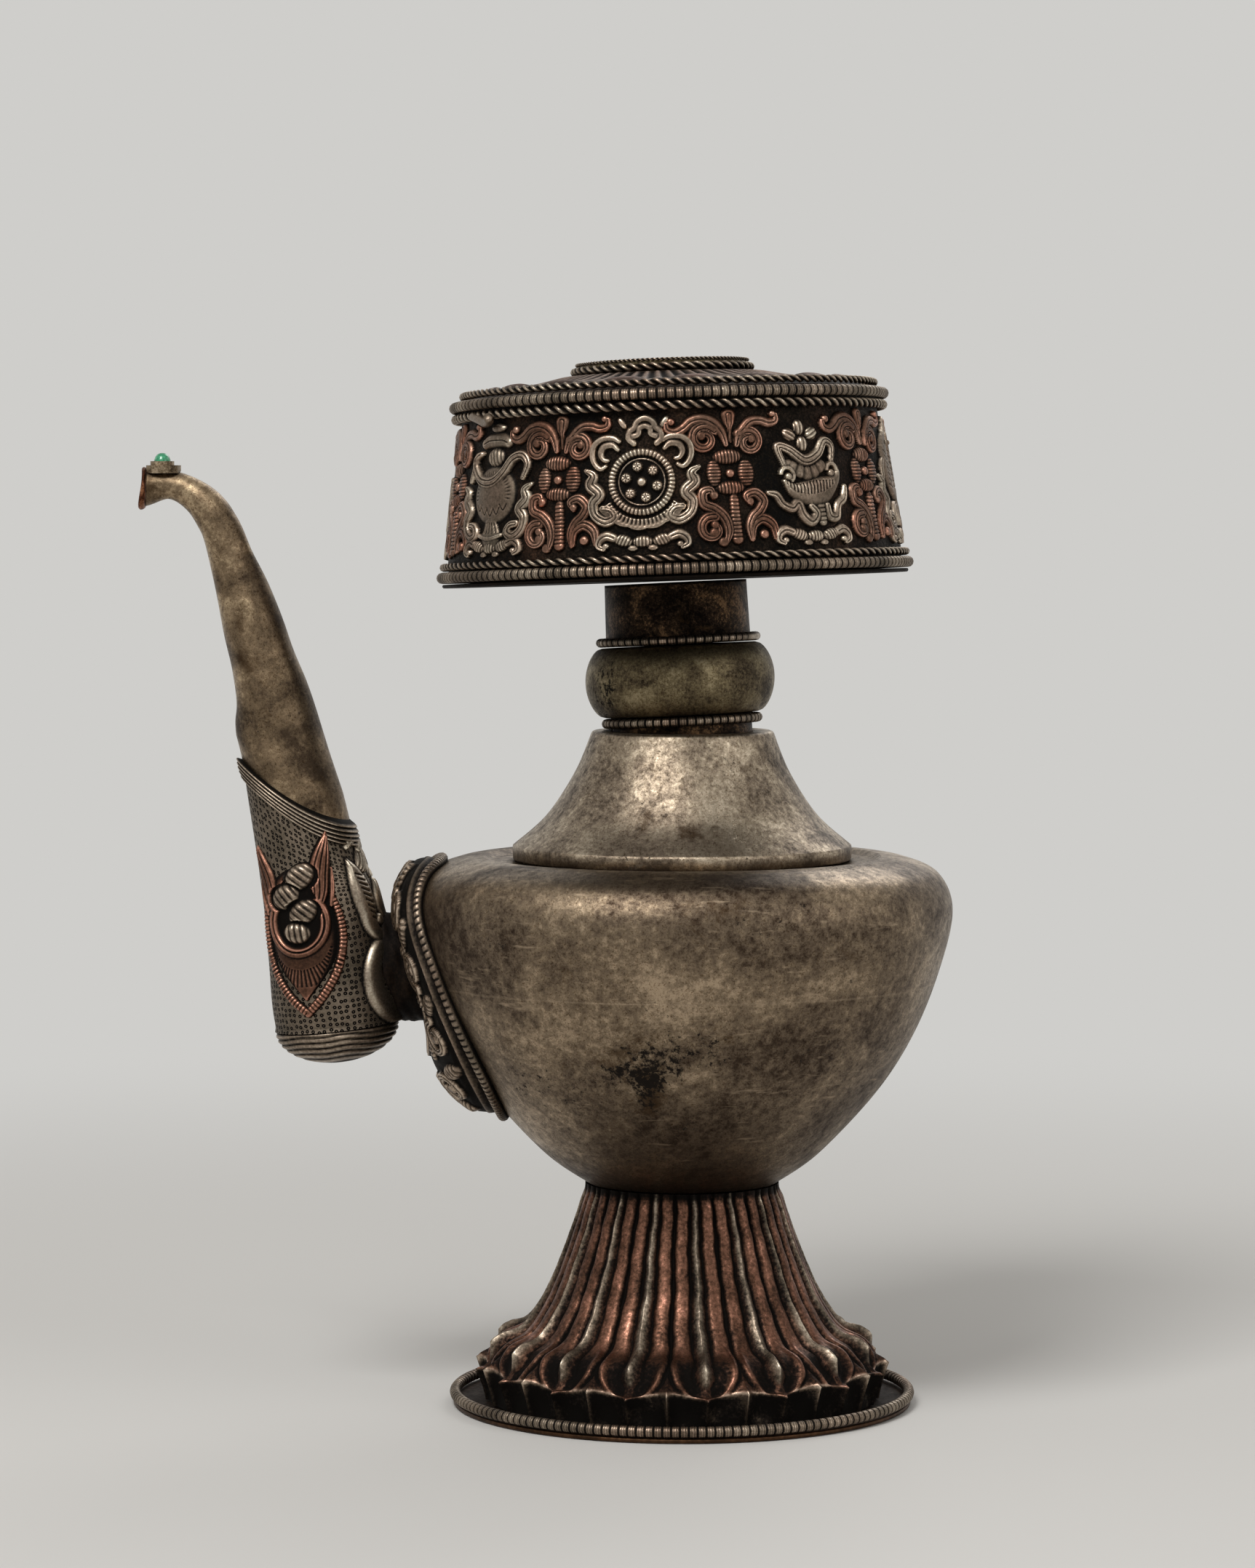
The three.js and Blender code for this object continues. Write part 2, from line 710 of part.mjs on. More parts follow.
function addStone() {
  const seat = onSpout(hornRadius(spout_length - bezel_place), 0, spout_length - bezel_place);
  const plate_top = seat.z + seat_gap + bezel_plate_height;
  const bore = stone_radius + seat_gap;
  const section = [
    point(0, seat.z - bezel_skirt),
    point(bezel_radius, seat.z - bezel_skirt),
    point(bezel_radius, plate_top),
    point(bore + bezel_cup_wall, plate_top),
    point(bore + bezel_cup_wall, plate_top + bezel_cup_height),
    point(bore, plate_top + bezel_cup_height),
    point(bore, plate_top),
    point(0, plate_top),
  ];
  const bezel = spun(section, small_flat_count);
  bezel.translate(seat.x, 0, 0);
  const line = hornLine(spout_length - bezel_place - bezel_radius * 2, spout_length, beak_steps, seat_gap);
  const inside = [point(0, line[0].y), ...line, point(0, spout_length)];
  const core = carried(spun(inside, spout_flat_count), onSpout);
  const room = bezel_radius + horn_mouth_radius;
  const behind_lip = slantedRing(0, room, lip_place - seat_gap, spout_length + room);
  piece(vessel, "stone_bezel", cut(bezel, core, behind_lip), silver);
  const dome = Array.from({ length: stone_steps + 1 }, (_, i) => {
    const turn = (Math.PI / 2) * (i / stone_steps);
    const across = i === stone_steps ? 0 : stone_radius * Math.cos(turn);
    return point(across, plate_top + seat_gap + stone_height * Math.sin(turn));
  });
  const stone = spun([point(0, plate_top + seat_gap), ...dome], small_flat_count);
  stone.translate(seat.x, 0, 0);
  piece(vessel, "turquoise_stone", stone, turquoise);
}

// Upper section

const upper = new THREE.Group();
vase.add(upper);
const ring_radius = spigot_radius + seat_gap + lower_ring_diameter / 2;
const lean = Math.acos(Math.cos(radians(lean_left)) * Math.cos(radians(lean_back)));
upper.rotation.set(-radians(lean_back), -radians(lean_left), 0);
upper.position.z = bell_top + seat_gap + ring_radius * Math.sin(lean);

const crown = new THREE.Group();
upper.add(crown);
crown.rotation.y = radians(crown_lean);
crown.position.z = neck_bottom + neck_height + seat_gap + neck_top_radius * Math.sin(radians(crown_lean));

function addNeck() {
  const spigot = [point(spigot_radius, -spigot_length), point(spigot_radius, lower_ring_diameter)];
  piece(upper, "neck_spigot", spun(sheet(spigot, neck_wall)), dark_silver);
  piece(upper, "lower_bead_ring", ring(ring_radius, lower_ring_diameter / 2, lower_ring_diameter), silver);
  const swell = knop_radius - knop_neck_radius;
  const knop = Array.from({ length: knop_steps + 1 }, (_, i) => {
    const share = i / knop_steps;
    const radius = knop_neck_radius + swell * Math.sqrt(Math.sin(Math.PI * share));
    return point(radius, knop_bottom + knop_height * share);
  });
  piece(upper, "neck_knop", spun(sheet(knop, neck_wall)), silver);
  const ring_centre = neck_foot_radius + seat_gap + upper_ring_diameter / 2;
  const ring_height = neck_bottom + upper_ring_diameter / 2;
  piece(upper, "upper_bead_ring", ring(ring_centre, ring_height, upper_ring_diameter), silver);
  const tube = [point(neck_foot_radius, neck_bottom), point(neck_top_radius, neck_bottom + neck_height)];
  piece(upper, "neck_tube", spun(sheet(tube, neck_wall)), dark_silver);
}

function addCrown() {
  const bore = neck_top_radius - neck_wall;
  const plate = [
    point(bore, 0),
    point(crown_plate_radius, 0),
    point(crown_plate_radius, crown_plate_thickness),
    point(bore, crown_plate_thickness),
  ];
  piece(crown, "crown_underplate", spun(plate), dark_silver);
  const band = [
    point(crown_foot_radius, band_bottom),
    point(crown_foot_radius, frieze_bottom),
    point(crown_top_radius, frieze_top),
    point(crown_top_radius, band_top),
  ];
  piece(crown, "crown_band", spun(sheet(band, crown_wall)), dark_silver);
  const foot_wires = [
    ["crown_bottom_bead_wire", bottom_bead_diameter],
    ["crown_bottom_rope_wire", bottom_rope_diameter],
  ];
  const rim_wires = [
    ["crown_lower_rope_wire", lower_rope_diameter],
    ["crown_top_bead_wire", top_bead_diameter],
  ];
  stackWires(crown, foot_wires, crown_foot_radius, band_bottom);
  stackWires(crown, rim_wires, crown_top_radius, frieze_top);
}

// Wires laid one above the other round a straight wall.
function stackWires(group, wires, wall, bottom) {
  let height = bottom;
  for (const [name, diameter] of wires) {
    piece(group, name, ring(wall + seat_gap + diameter / 2, height + diameter / 2, diameter), silver);
    height += diameter + seat_gap;
  }
}

function addLid() {
  const edge = crown_top_radius;
  const rim_top = lid_bottom + lid_wall;
  const slope = laid(lid_slope_shares, mouth_radius, edge - lid_rim, rim_top, mouth_bottom - seat_gap);
  const lid = carried(spun(sheet([point(edge, rim_top), ...slope], lid_wall)), (x, y, z) => {
    const shift = mouth_shift * (1 - smooth(Math.hypot(x, y), mouth_radius + mouth_wall, edge - lid_rim));
    return new THREE.Vector3(x + shift, y, z);
  });
  piece(crown, "crown_lid", lid, silver);
  const rope_height = rim_top + seat_gap + upper_rope_diameter / 2;
  piece(crown, "crown_upper_rope_wire", ring(edge - lid_rim / 4, rope_height, upper_rope_diameter), silver);
}

function addMouth() {
  const mouth = new THREE.Group();
  crown.add(mouth);
  mouth.position.x = mouth_shift;
  const outer = mouth_radius + mouth_wall;
  const top = mouth_bottom + mouth_height;
  const collar = [point(outer, mouth_bottom), point(outer, top)];
  piece(mouth, "mouth_collar", spun(sheet(collar, mouth_wall)), silver);
  const wires = [
    ["mouth_rope_wire", mouth_rope_diameter],
    ["mouth_lip_wire", lip_wire_diameter],
  ];
  stackWires(mouth, wires, outer, mouth_bottom);
}

function addPlaques() {
  const pitch = 360 / symbol_names.length;
  const half_width = symbol_width / 2;
  const half_height = symbol_height / 2;
  symbol_names.forEach((name, i) => {
    const turn = symbol_turn - pitch * i;
    const symbol = plaque(symbol_outline_shares, half_width, half_height, plaque_relief);
    piece(crown, `crown_symbol_${name}`, carried(symbol, onBand(turn)), silver);
    const flower = plaque(flower_outline_shares, flower_width / 2, flower_height / 2, plaque_relief);
    piece(crown, `crown_flower_${i + 1}`, carried(flower, onBand(turn - pitch / 2)), copper);
  });
}

addBase();
addFoot();
addBowl();
addBell();
addEscutcheon();
addSocket();
addBoot();
addHorn();
addStone();
addNeck();
addCrown();
addLid();
addMouth();
addPlaques();

export default vase;
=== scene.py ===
# The finished surfaces of the ritual vase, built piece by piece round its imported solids.
import math

import bmesh
import bpy
import numpy as np
from mathutils import Matrix, Vector


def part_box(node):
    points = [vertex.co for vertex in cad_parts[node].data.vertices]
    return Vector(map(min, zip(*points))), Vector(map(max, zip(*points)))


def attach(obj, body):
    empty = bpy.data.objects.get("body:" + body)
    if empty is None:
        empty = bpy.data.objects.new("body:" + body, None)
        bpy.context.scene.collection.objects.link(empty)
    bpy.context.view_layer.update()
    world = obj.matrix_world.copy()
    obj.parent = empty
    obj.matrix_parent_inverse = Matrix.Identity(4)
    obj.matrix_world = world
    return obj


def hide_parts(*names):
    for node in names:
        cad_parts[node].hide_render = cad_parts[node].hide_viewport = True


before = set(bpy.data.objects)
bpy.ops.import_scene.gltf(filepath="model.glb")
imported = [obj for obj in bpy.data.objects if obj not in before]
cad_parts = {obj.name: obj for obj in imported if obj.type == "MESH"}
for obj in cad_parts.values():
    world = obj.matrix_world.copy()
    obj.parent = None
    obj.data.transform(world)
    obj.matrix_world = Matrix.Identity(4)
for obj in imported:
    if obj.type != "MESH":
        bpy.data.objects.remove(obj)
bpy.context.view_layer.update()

MM = 0.001

# Camera
# It stands where the photographer's did: 1.39 m in front of the vase and a little to its left, level with
# the neck's top, tilted a few degrees down. The frame's height and focal length are in the photo's pixels.
frame_height_px = 2156
focal_length_px = 7156
camera_left_mm, camera_distance_mm, camera_height_mm = 14.7, 1394, 256.2
camera_tilt_degrees = 3.66
camera_data = bpy.data.cameras.new("camera")
camera_data.lens = camera_data.sensor_width * focal_length_px / frame_height_px
camera_data.clip_start = 0.05
camera = bpy.data.objects.new("camera", camera_data)
camera.location = (-camera_left_mm * MM, -camera_distance_mm * MM, camera_height_mm * MM)
camera.rotation_euler = (math.radians(90 - camera_tilt_degrees), 0, 0)
bpy.context.scene.collection.objects.link(camera)
bpy.context.scene.camera = camera


# Base plate
# A flat round of sheet that closes the foot, blackened by handling and by the dust that gathers on it.
# Its edge is turned down a little where the beaded wire was soldered on.

def linear(code):
    """An sRGB hex colour as linear red, green, blue and alpha."""
    parts = [int(code[i:i + 2], 16) / 255 for i in (1, 3, 5)]
    return [c / 12.92 if c <= 0.04045 else ((c + 0.055) / 1.055) ** 2.4 for c in parts] + [1]


def add(tree, kind, inputs=None, ramp=None, **settings):
    """A shader node with its settings, its colour ramp and its inputs, which are values, links, or nodes that
    stand for their first output."""
    made = tree.nodes.new("ShaderNode" + kind)
    for name, value in settings.items():
        setattr(made, name, value)
    for name, value in (inputs or {}).items():
        if isinstance(value, bpy.types.Node):
            value = value.outputs[0]
        if isinstance(value, bpy.types.NodeSocket):
            tree.links.new(value, made.inputs[name])
        else:
            made.inputs[name].default_value = linear(value) if isinstance(value, str) else value
    if ramp:
        stops = made.color_ramp.elements
        while len(stops) < len(ramp):
            stops.new(0.5)
        for stop, (place, tone) in zip(stops, ramp):
            stop.position = place
            stop.color = linear(tone) if isinstance(tone, str) else [tone, tone, tone, 1]
    return made


def new_material(name):
    """A new material and its empty node tree."""
    material = bpy.data.materials.new(name)
    material.use_nodes = True
    tree = material.node_tree
    tree.nodes.clear()
    return material, tree


metallic_by_rubbing = [(0.1, 0.8), (0.35, 0.93), (0.6, 1.0)]  # soot in the hollows dulls the metal


def patinated(name, silver, copper, grain_mm=0.5, pit_mm=0.12, shine=0.36, uneven=1.0):
    """Chased metal that was blackened with sulphur and then rubbed: dark in the hollows, bright on the
    high places. The mesh says where, in its wear attribute, and where it is copper, in its copper one.
    Uneven is how strongly the rubbing varies from place to place."""
    material, tree = new_material(name)
    place = add(tree, "TexCoord").outputs["Object"]
    wear, share = (add(tree, "Attribute", attribute_name=label).outputs["Fac"] for label in ("wear", "copper"))
    blotch = add(tree, "TexNoise", {"Vector": place, "Scale": 1 / (9 * MM), "Detail": 5.0, "Roughness": 0.6})
    fine = add(tree, "TexNoise", {"Vector": place, "Scale": 1 / (grain_mm * MM), "Detail": 4.0,
                                  "Roughness": 0.65})
    mottle = add(tree, "Math", {0: blotch, 1: 0.5 * uneven}, operation="MULTIPLY")
    speckle = add(tree, "Math", {0: fine, 1: 0.55 * uneven}, operation="MULTIPLY")
    both = add(tree, "Math", {0: mottle, 1: speckle}, operation="ADD")
    shift = add(tree, "Math", {0: both, 1: 0.525 * uneven}, operation="SUBTRACT")
    rubbed = add(tree, "Math", {0: wear, 1: shift}, operation="ADD", use_clamp=True)
    silvery, coppery = (add(tree, "ValToRGB", {"Fac": rubbed},
                            ramp=list(zip((0.12, 0.3, 0.52, 0.74, 0.95), tones))) for tones in (silver, copper))
    colour = add(tree, "Mix", {"Factor": share, "A": silvery, "B": coppery}, data_type="RGBA")
    rough = add(tree, "ValToRGB", {"Fac": rubbed}, ramp=[(0.1, 0.82), (0.45, 0.55), (0.9, shine)])
    metal = add(tree, "ValToRGB", {"Fac": rubbed}, ramp=metallic_by_rubbing)
    pits = add(tree, "Bump", {"Height": fine, "Strength": 0.35, "Distance": pit_mm * MM})
    surface = add(tree, "BsdfPrincipled", {"Base Color": colour.outputs["Result"], "Metallic": metal,
                                           "Roughness": rough, "Specular IOR Level": 0.3, "Normal": pits})
    add(tree, "OutputMaterial", {"Surface": surface})
    return material


def keep(mesh, material, body, node):
    """The finished piece, smooth and in its place on its body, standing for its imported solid."""
    mesh.materials.append(material)
    mesh.shade_smooth()
    thing = bpy.data.objects.new(mesh.name, mesh)
    bpy.context.scene.collection.objects.link(thing)
    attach(thing, body)
    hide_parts(node)
    return thing


def mark(mesh, name, values):
    """Gives each corner of the mesh a number that its material reads."""
    values = np.broadcast_to(np.asarray(values, np.float32), len(mesh.vertices))
    if name not in mesh.attributes:
        mesh.attributes.new(name, "FLOAT", "POINT")
    mesh.attributes[name].data.foreach_set("value", np.ascontiguousarray(values))


def corners(mesh):
    """The places of the mesh's corners, one row each, in mm."""
    places = np.empty(len(mesh.vertices) * 3, np.float32)
    mesh.vertices.foreach_get("co", places)
    return places.reshape(-1, 3).astype(float) / MM


def set_corners(mesh, places):
    mesh.vertices.foreach_set("co", (np.asarray(places) * MM).astype(np.float32).ravel())
    mesh.update()


def turned(name, outline, steps):
    """A closed outline of radii and heights in mm, spun round the Z axis."""
    mesh = bpy.data.meshes.new(name)
    work = bmesh.new()
    points = [work.verts.new((r * MM, 0, z * MM)) for r, z in outline]
    ends = points[1:] + ([points[0]] if min(r for r, _ in outline) > 0 else [])
    edges = [work.edges.new(pair) for pair in zip(points, ends)]
    bmesh.ops.spin(work, geom=points + edges, cent=(0, 0, 0), axis=(0, 0, 1), angle=2 * math.pi,
                   steps=steps, use_merge=True)
    bmesh.ops.remove_doubles(work, verts=work.verts, dist=1e-7)
    bmesh.ops.recalc_face_normals(work, faces=work.faces)
    work.to_mesh(mesh)
    work.free()
    return mesh


def curve(points, count):
    """A smooth line of count points through a few chosen ones, each a tuple of any length."""
    points = np.array(points, float)
    padded = np.vstack([points[:1], points, points[-1:]])
    places = np.linspace(0, len(points) - 1, count)
    first = np.minimum(places.astype(int), len(points) - 2)
    t = (places - first)[:, None]
    a, b, c, d = (padded[first + i] for i in range(4))
    return 0.5 * (2 * b + (c - a) * t + (2 * a - 5 * b + 4 * c - d) * t**2 + (3 * b - 3 * c + d - a) * t**3)


plate_radius, plate_thickness, plate_rim = 61.7, 1.1, 0.25
plate_outline = [(0, 0), (plate_radius - plate_rim, 0), (plate_radius, plate_rim),
                 (plate_radius, plate_thickness - plate_rim), (plate_radius - plate_rim, plate_thickness),
                 *[(r, plate_thickness) for r in np.linspace(plate_radius - 1, 0, 24)]]
grimy = patinated("blackened_copper_sheet", silver=["#15120f", "#1f1a15", "#30271f", "#4b3d2f", "#6f5b45"],
                  copper=["#1a120d", "#2b1c13", "#47301f", "#6b4a33", "#8c6446"], grain_mm=1.2)
plate = turned("base_plate_sheet", plate_outline, 160)
places = corners(plate)
mark(plate, "wear", 0.25 + 0.3 * (np.hypot(places[:, 0], places[:, 1]) > plate_radius - 1.5))
mark(plate, "copper", 0.6)
keep(plate, grimy, "vessel", "base_plate")


# Base wire
# A silver wire rolled between grooved dies, so that it looks like a string of ribbed beads, bent into a
# ring and soldered on the edge of the plate. The beads' crowns are rubbed bright.

silver_tones = ["#13100d", "#292420", "#5a5145", "#87796a", "#c4b8a4"]
copper_tones = ["#120e0b", "#261b16", "#4e372b", "#765343", "#b27f6b"]
silver_wire = patinated("rolled_silver_wire", silver_tones, copper_tones, grain_mm=0.4, pit_mm=0.1, shine=0.3)
solder_film = 0.3
base_wire_radius, base_wire_beads = 1.5, 170
BEAD_GROOVE = 0.21  # share of a bead's radius that the groove between two beads cuts away
BEAD_RIB_GROOVE = 0.08
BEAD_STEPS, BEAD_SIDES = 12, 12  # faces along a bead and round the wire


def woven(name, columns, rows):
    """A mesh that is an even grid of faces, and each corner's share of its width and of its height."""
    mesh = bpy.data.meshes.new(name)
    work = bmesh.new()
    bmesh.ops.create_grid(work, x_segments=columns, y_segments=rows, size=0.5)
    work.to_mesh(mesh)
    work.free()
    across, up, _ = (corners(mesh) * MM + 0.5).T
    return mesh, across, up


def closed_up(mesh):
    """Joins the mesh's open edges where they meet, and turns its faces outwards."""
    work = bmesh.new()
    work.from_mesh(mesh)
    bmesh.ops.remove_doubles(work, verts=[v for v in work.verts if v.is_boundary], dist=1e-6)
    bmesh.ops.recalc_face_normals(work, faces=work.faces)
    work.to_mesh(mesh)
    work.free()
    return mesh


def wire_ring(name, path, beads, steps, sides, section):
    """A closed wire. Path takes a turn, an outward and an upward offset in mm; section gives the offsets."""
    mesh, across, up = woven(name, beads * steps, sides)
    turn, around = across * 2 * math.pi, -up * 2 * math.pi
    out, rise, wear = section(turn, around)
    set_corners(mesh, path(turn, out, rise))
    mark(mesh, "wear", wear)
    mark(mesh, "copper", 0.12 + 0.1 * np.sin(3 * turn) + 0.1 * np.sin(7 * turn + 1))
    return closed_up(mesh)


def level_ring(radius, height, place=Matrix.Identity(4)):
    """The path of a round wire at a height, carried by a matrix in mm."""
    turned_by = np.array(place)

    def path(turn, out, up):
        points = np.stack([(radius + out) * np.cos(turn), (radius + out) * np.sin(turn),
                           height + up, np.ones_like(turn)], 1)
        return (points @ turned_by.T)[:, :3]
    return path


def beaded(name, path, radius, beads, plain=None):
    """A rolled wire: a deep groove between two beads and two fine ones across each. Plain is the middle and
    half of a stretch that the dies missed, in degrees."""
    def section(turn, around):
        share = (turn / (2 * math.pi) * beads) % 1
        uneven = 0.04 * np.sin(turn * 13) + 0.03 * np.sin(turn * 29 + 2)
        deep = np.exp(-((np.minimum(share, 1 - share) / 0.13) ** 2))
        fine = np.exp(-(((share - 0.36) / 0.05) ** 2)) + np.exp(-(((share - 0.66) / 0.05) ** 2))
        if plain:
            off = np.abs((np.degrees(turn) - plain[0] + 180) % 360 - 180) / plain[1]
            deep, fine = deep * np.clip(4 * off - 3, 0, 1), fine * np.clip(4 * off - 3, 0, 1)
        reach = radius * (1 - (BEAD_GROOVE + uneven * 0.4) * deep - BEAD_RIB_GROOVE * fine)
        wear = 0.76 - 0.74 * deep - 0.34 * fine + 1.5 * uneven
        return reach * np.cos(around), reach * np.sin(around), wear
    return wire_ring(name, path, beads, BEAD_STEPS, BEAD_SIDES, section)


base_wire_path = level_ring(plate_radius - 0.5, plate_thickness + solder_film + base_wire_radius)
base_wire = beaded("base_wire", base_wire_path, base_wire_radius, base_wire_beads)
keep(base_wire, silver_wire, "vessel", "base_bead_wire")


# Lotus foot
# Raised from one sheet of silver over a steel former and chased with sixteen lotus petals. A silver rib runs
# down each petal's middle to a pointed knob, the flutes beside it were copper-plated, and the lip is pinched
# into thirty-two points over a creased wall.

petals = 16
petal_turn = math.radians(-90 + 6.5)
foot_wall_foot, foot_lip = (52.3, 1.4), (53.6, 11.0)
foot_flare = [(53.6, 11.0), (48.9, 17.1), (43.0, 19.6), (38.7, 24.8), (34.5, 32.7), (29.9, 44.6),
              (26.2, 56.2), (25.7, 59.7)]
foot_columns, foot_rows, foot_wall_rows = petals * 48, 122, 20
knob_climb, knob_height = 6.2, 3.2  # how far up the flare the knobs stand, and how far off it


def ridge(distance, width, sharp=2.0):
    """A rounded ridge: 1 on its line, 0 at its width and beyond."""
    return np.clip(1 - np.abs(distance / width) ** sharp, 0, 1)


def smoothstep(value, low, high):
    share = np.clip((value - low) / (high - low), 0, 1)
    return share * share * (3 - 2 * share)


def groove(distance, width):
    return np.exp(-((distance / width) ** 2))


def length_along(line):
    """How far along a flat line of points each of them is."""
    return np.concatenate([[0], np.cumsum(np.hypot(*np.diff(line, axis=0).T))])


def petal_relief(phase, pitch, run, count):
    """Height, brightness and copper of a petal, where phase is the share of a pitch from its rib, pitch is in
    mm, run is how far up the flare a place is and count numbers the petals."""
    half = pitch / 2
    across = phase * pitch + 0.16 * np.sin(run * 0.33 + count * 2.1) + 0.1 * np.sin(run * 0.9 + count)
    top = 1 - smoothstep(run, 53.5, 57.5)
    # the rib: a sharp crest, thin above and broad below, that climbs to a knob and then falls steeply
    rib_half = np.interp(run, [2.4, 4.4, 6.4, 9.5, 12, 18, 30, 56], [1.3, 2.6, 2.75, 2.1, 2.0, 2.2, 1.65, 1.0])
    gable = np.clip(1 - np.abs(across) / rib_half, 0, 1) ** np.interp(run, [8, 12], [1.1, 0.8])
    crest_tall = np.interp(run, [2.4, knob_climb - 0.5, knob_climb + 0.3, 11.5, 14, 30, 50],
                           [0, knob_height, knob_height, 1.9, 1.85, 1.5, 1.1])
    rib = gable * crest_tall * (0.4 + 0.6 * top)
    knob = groove(run - knob_climb, 1.1) * groove(across, 0.9)
    # the petal's outline: straight above, drawn in to a round tongue at the lip
    drawn_in = np.clip(1 - (run + 1.6) / 13, 0, 1)
    tongue = half * (1 - drawn_in**2.4) ** 0.42
    inside = tongue - np.abs(across)
    parting = groove(inside, 0.3 + 0.03 * half) * np.clip(0.35 + run / 4, 0, 1)
    margin = ridge(inside - 1.25, 1.35, 2.4) * (1 - smoothstep(run, 11, 17))
    hollow = smoothstep(inside, 1.6, 4.2) * (1 - smoothstep(run, 5, 13))
    flute_at = rib_half + (half - rib_half) * 0.52
    flute_half = (half - rib_half) * 0.43
    flute = ridge(np.abs(across) - flute_at, flute_half, 3.0) * smoothstep(run, 8, 15) * (0.5 + 0.5 * top)
    beside = groove(np.abs(across) - rib_half - 0.3, 0.34) * smoothstep(run, 1.5, 4)
    height = rib + 0.75 * flute + 0.55 * margin - 0.95 * hollow - 0.55 * parting - 0.55 * beside
    crest = np.clip(gable * 1.4 - 0.25, 0, 1) * np.clip(crest_tall, 0, 1)
    bright = 0.38 + 0.26 * flute + 0.24 * margin - 0.3 * hollow - 0.42 * beside - 0.5 * parting
    # The knob's apex is brightened: rubbed wear on the high point and a painted highlight.
    bright = np.where(np.abs(across) < rib_half * 0.96, 0.36 + 0.32 * crest**1.8, bright) + 0.3 * knob
    bright = bright - 0.4 * smoothstep(run, 55.8, 58)
    copper = np.clip(1.0 - 1.3 * crest, 0.05, 1)
    return height, bright, copper


def lotus_foot():
    mesh, across, up = woven("lotus_foot_sheet", foot_columns, foot_rows)
    # the columns are closer together at the ribs and partings, the rows closer near the lip
    place = across * petals
    place = place - 0.5 * np.sin(4 * math.pi * place) / (4 * math.pi)
    turn = petal_turn + place * 2 * math.pi / petals
    wall_share = foot_wall_rows / foot_rows
    on_wall = up < wall_share - 1e-6
    rise = np.clip(up / wall_share, 0, 1)
    climb = np.clip((up - wall_share) / (1 - wall_share), 0, 1) ** 1.25
    flare = curve(foot_flare, 400)
    length = length_along(flare)
    run = climb * length[-1]
    radius = np.where(on_wall, foot_wall_foot[0] + rise * (foot_lip[0] - foot_wall_foot[0]),
                      np.interp(run, length, flare[:, 0]))
    height = np.where(on_wall, foot_wall_foot[1] + rise * (foot_lip[1] - foot_wall_foot[1]),
                      np.interp(run, length, flare[:, 1]))
    slope = np.gradient(flare, axis=0)
    lean = np.interp(run, length, np.arctan2(slope[:, 1], slope[:, 0]))
    phase = (place + 0.5) % 1 - 0.5
    lift, bright, copper = petal_relief(phase, 2 * math.pi * radius / petals, run, np.floor(place + 0.5) % petals)
    lift = np.where(on_wall, 0, lift * np.clip(run / 0.8, 0, 1))
    radius, height = radius + lift * np.sin(lean), height - lift * np.cos(lean)
    # the lip's points, two to a petal: the one below the rib hangs low, the one between two petals stands high
    cusp = 1 - np.abs(np.sin(2 * math.pi * phase))
    below_rib = np.clip(np.cos(2 * math.pi * phase), 0, 1)
    hang = 1 - 2 * np.abs(phase)
    near_lip = np.where(on_wall, rise**1.6, np.exp(-((run / 2.6) ** 2)))
    radius = radius + near_lip * (2.6 * cusp**1.6 - 0.95)
    height = height + near_lip * (0.8 - 1.6 * hang**1.3 - 0.5 * (1 - cusp))
    crease = cusp**6 * on_wall
    radius = radius + crease * 0.9 - on_wall * 0.8 * np.sin(rise * math.pi) * (1 - cusp)
    set_corners(mesh, np.stack([radius * np.cos(turn), radius * np.sin(turn), height], 1))
    edge = np.exp(-((run / 0.55) ** 2))
    blotch = 0.22 * np.sin(turn * 23) * np.sin(rise * 5 + turn * 7)
    wall_wear = (0.04 + blotch + 0.6 * np.exp(-((1 - rise) / 0.08) ** 2)
                 + 0.95 * crease * (0.35 + 0.65 * (1 - below_rib)) * (0.45 + 0.55 * rise))
    mark(mesh, "wear", np.clip(np.where(on_wall, wall_wear, bright + 0.45 * edge), 0, 1))
    mark(mesh, "copper", np.where(on_wall, 0.2 + 0.6 * below_rib * rise**6, copper - 0.6 * edge * (1 - below_rib)))
    return closed_up(mesh)


handled = patinated("handled_silver_and_copper", silver_tones, copper_tones, grain_mm=0.9, shine=0.33, uneven=1.7)
keep(lotus_foot(), handled, "vessel", "lotus_foot")


# Bowl
# Two halves raised by hammer from silver sheet and soldered at the seam under the shoulder. The surface keeps
# faint hammer flats, fine scratches, black pitting and a brown run where water has dripped for years.

bowl_bottom, seam_height = 60.0, 114.6
bowl_line = [(25.7, 60.0), (37.35, 68.25), (51.8, 84.06), (61.83, 99.77), (68.57, 115.58), (72.5, 132.96),
             (69.04, 142.97), (60.43, 147.01), (53.36, 147.8)]
moat = [(51.6, 146.7), (50.6, 146.45), (41.5, 146.5)]
sheet_mm = 1.2


def heading(line):
    """The direction of a flat line at each of its points, 1 long."""
    way = np.gradient(line, axis=0)
    return way / np.hypot(way[:, 0], way[:, 1])[:, None]


def walled(line, wall):
    """The closed outline of a sheet whose outer face is the line."""
    line = np.array(line, float)
    way = heading(line)
    inner = line + wall * np.stack([-way[:, 1], way[:, 0]], 1)
    inner[:, 0] = np.maximum(inner[:, 0], 0)
    return [tuple(p) for p in line] + [tuple(p) for p in inner[::-1]]


def hammered(mesh, depth, size_mm, seed):
    """Shifts every corner by a little, in shallow dents of a size, as a planished sheet is."""
    places = corners(mesh)
    radius = np.hypot(places[:, 0], places[:, 1]) + 1e-6
    turn = np.arctan2(places[:, 1], places[:, 0])
    waves = np.zeros(len(places))
    random = np.random.default_rng(seed)
    for _ in range(14):
        round_count, rate, start = random.integers(1, 5), random.uniform(0.5, 1.5) / size_mm, random.uniform(0, 6)
        waves += np.sin(turn * round_count * random.integers(1, 4) + places[:, 2] * rate + start)
    shift = depth * waves / 7
    places[:, 0] += shift * places[:, 0] / radius
    places[:, 1] += shift * places[:, 1] / radius
    set_corners(mesh, places)


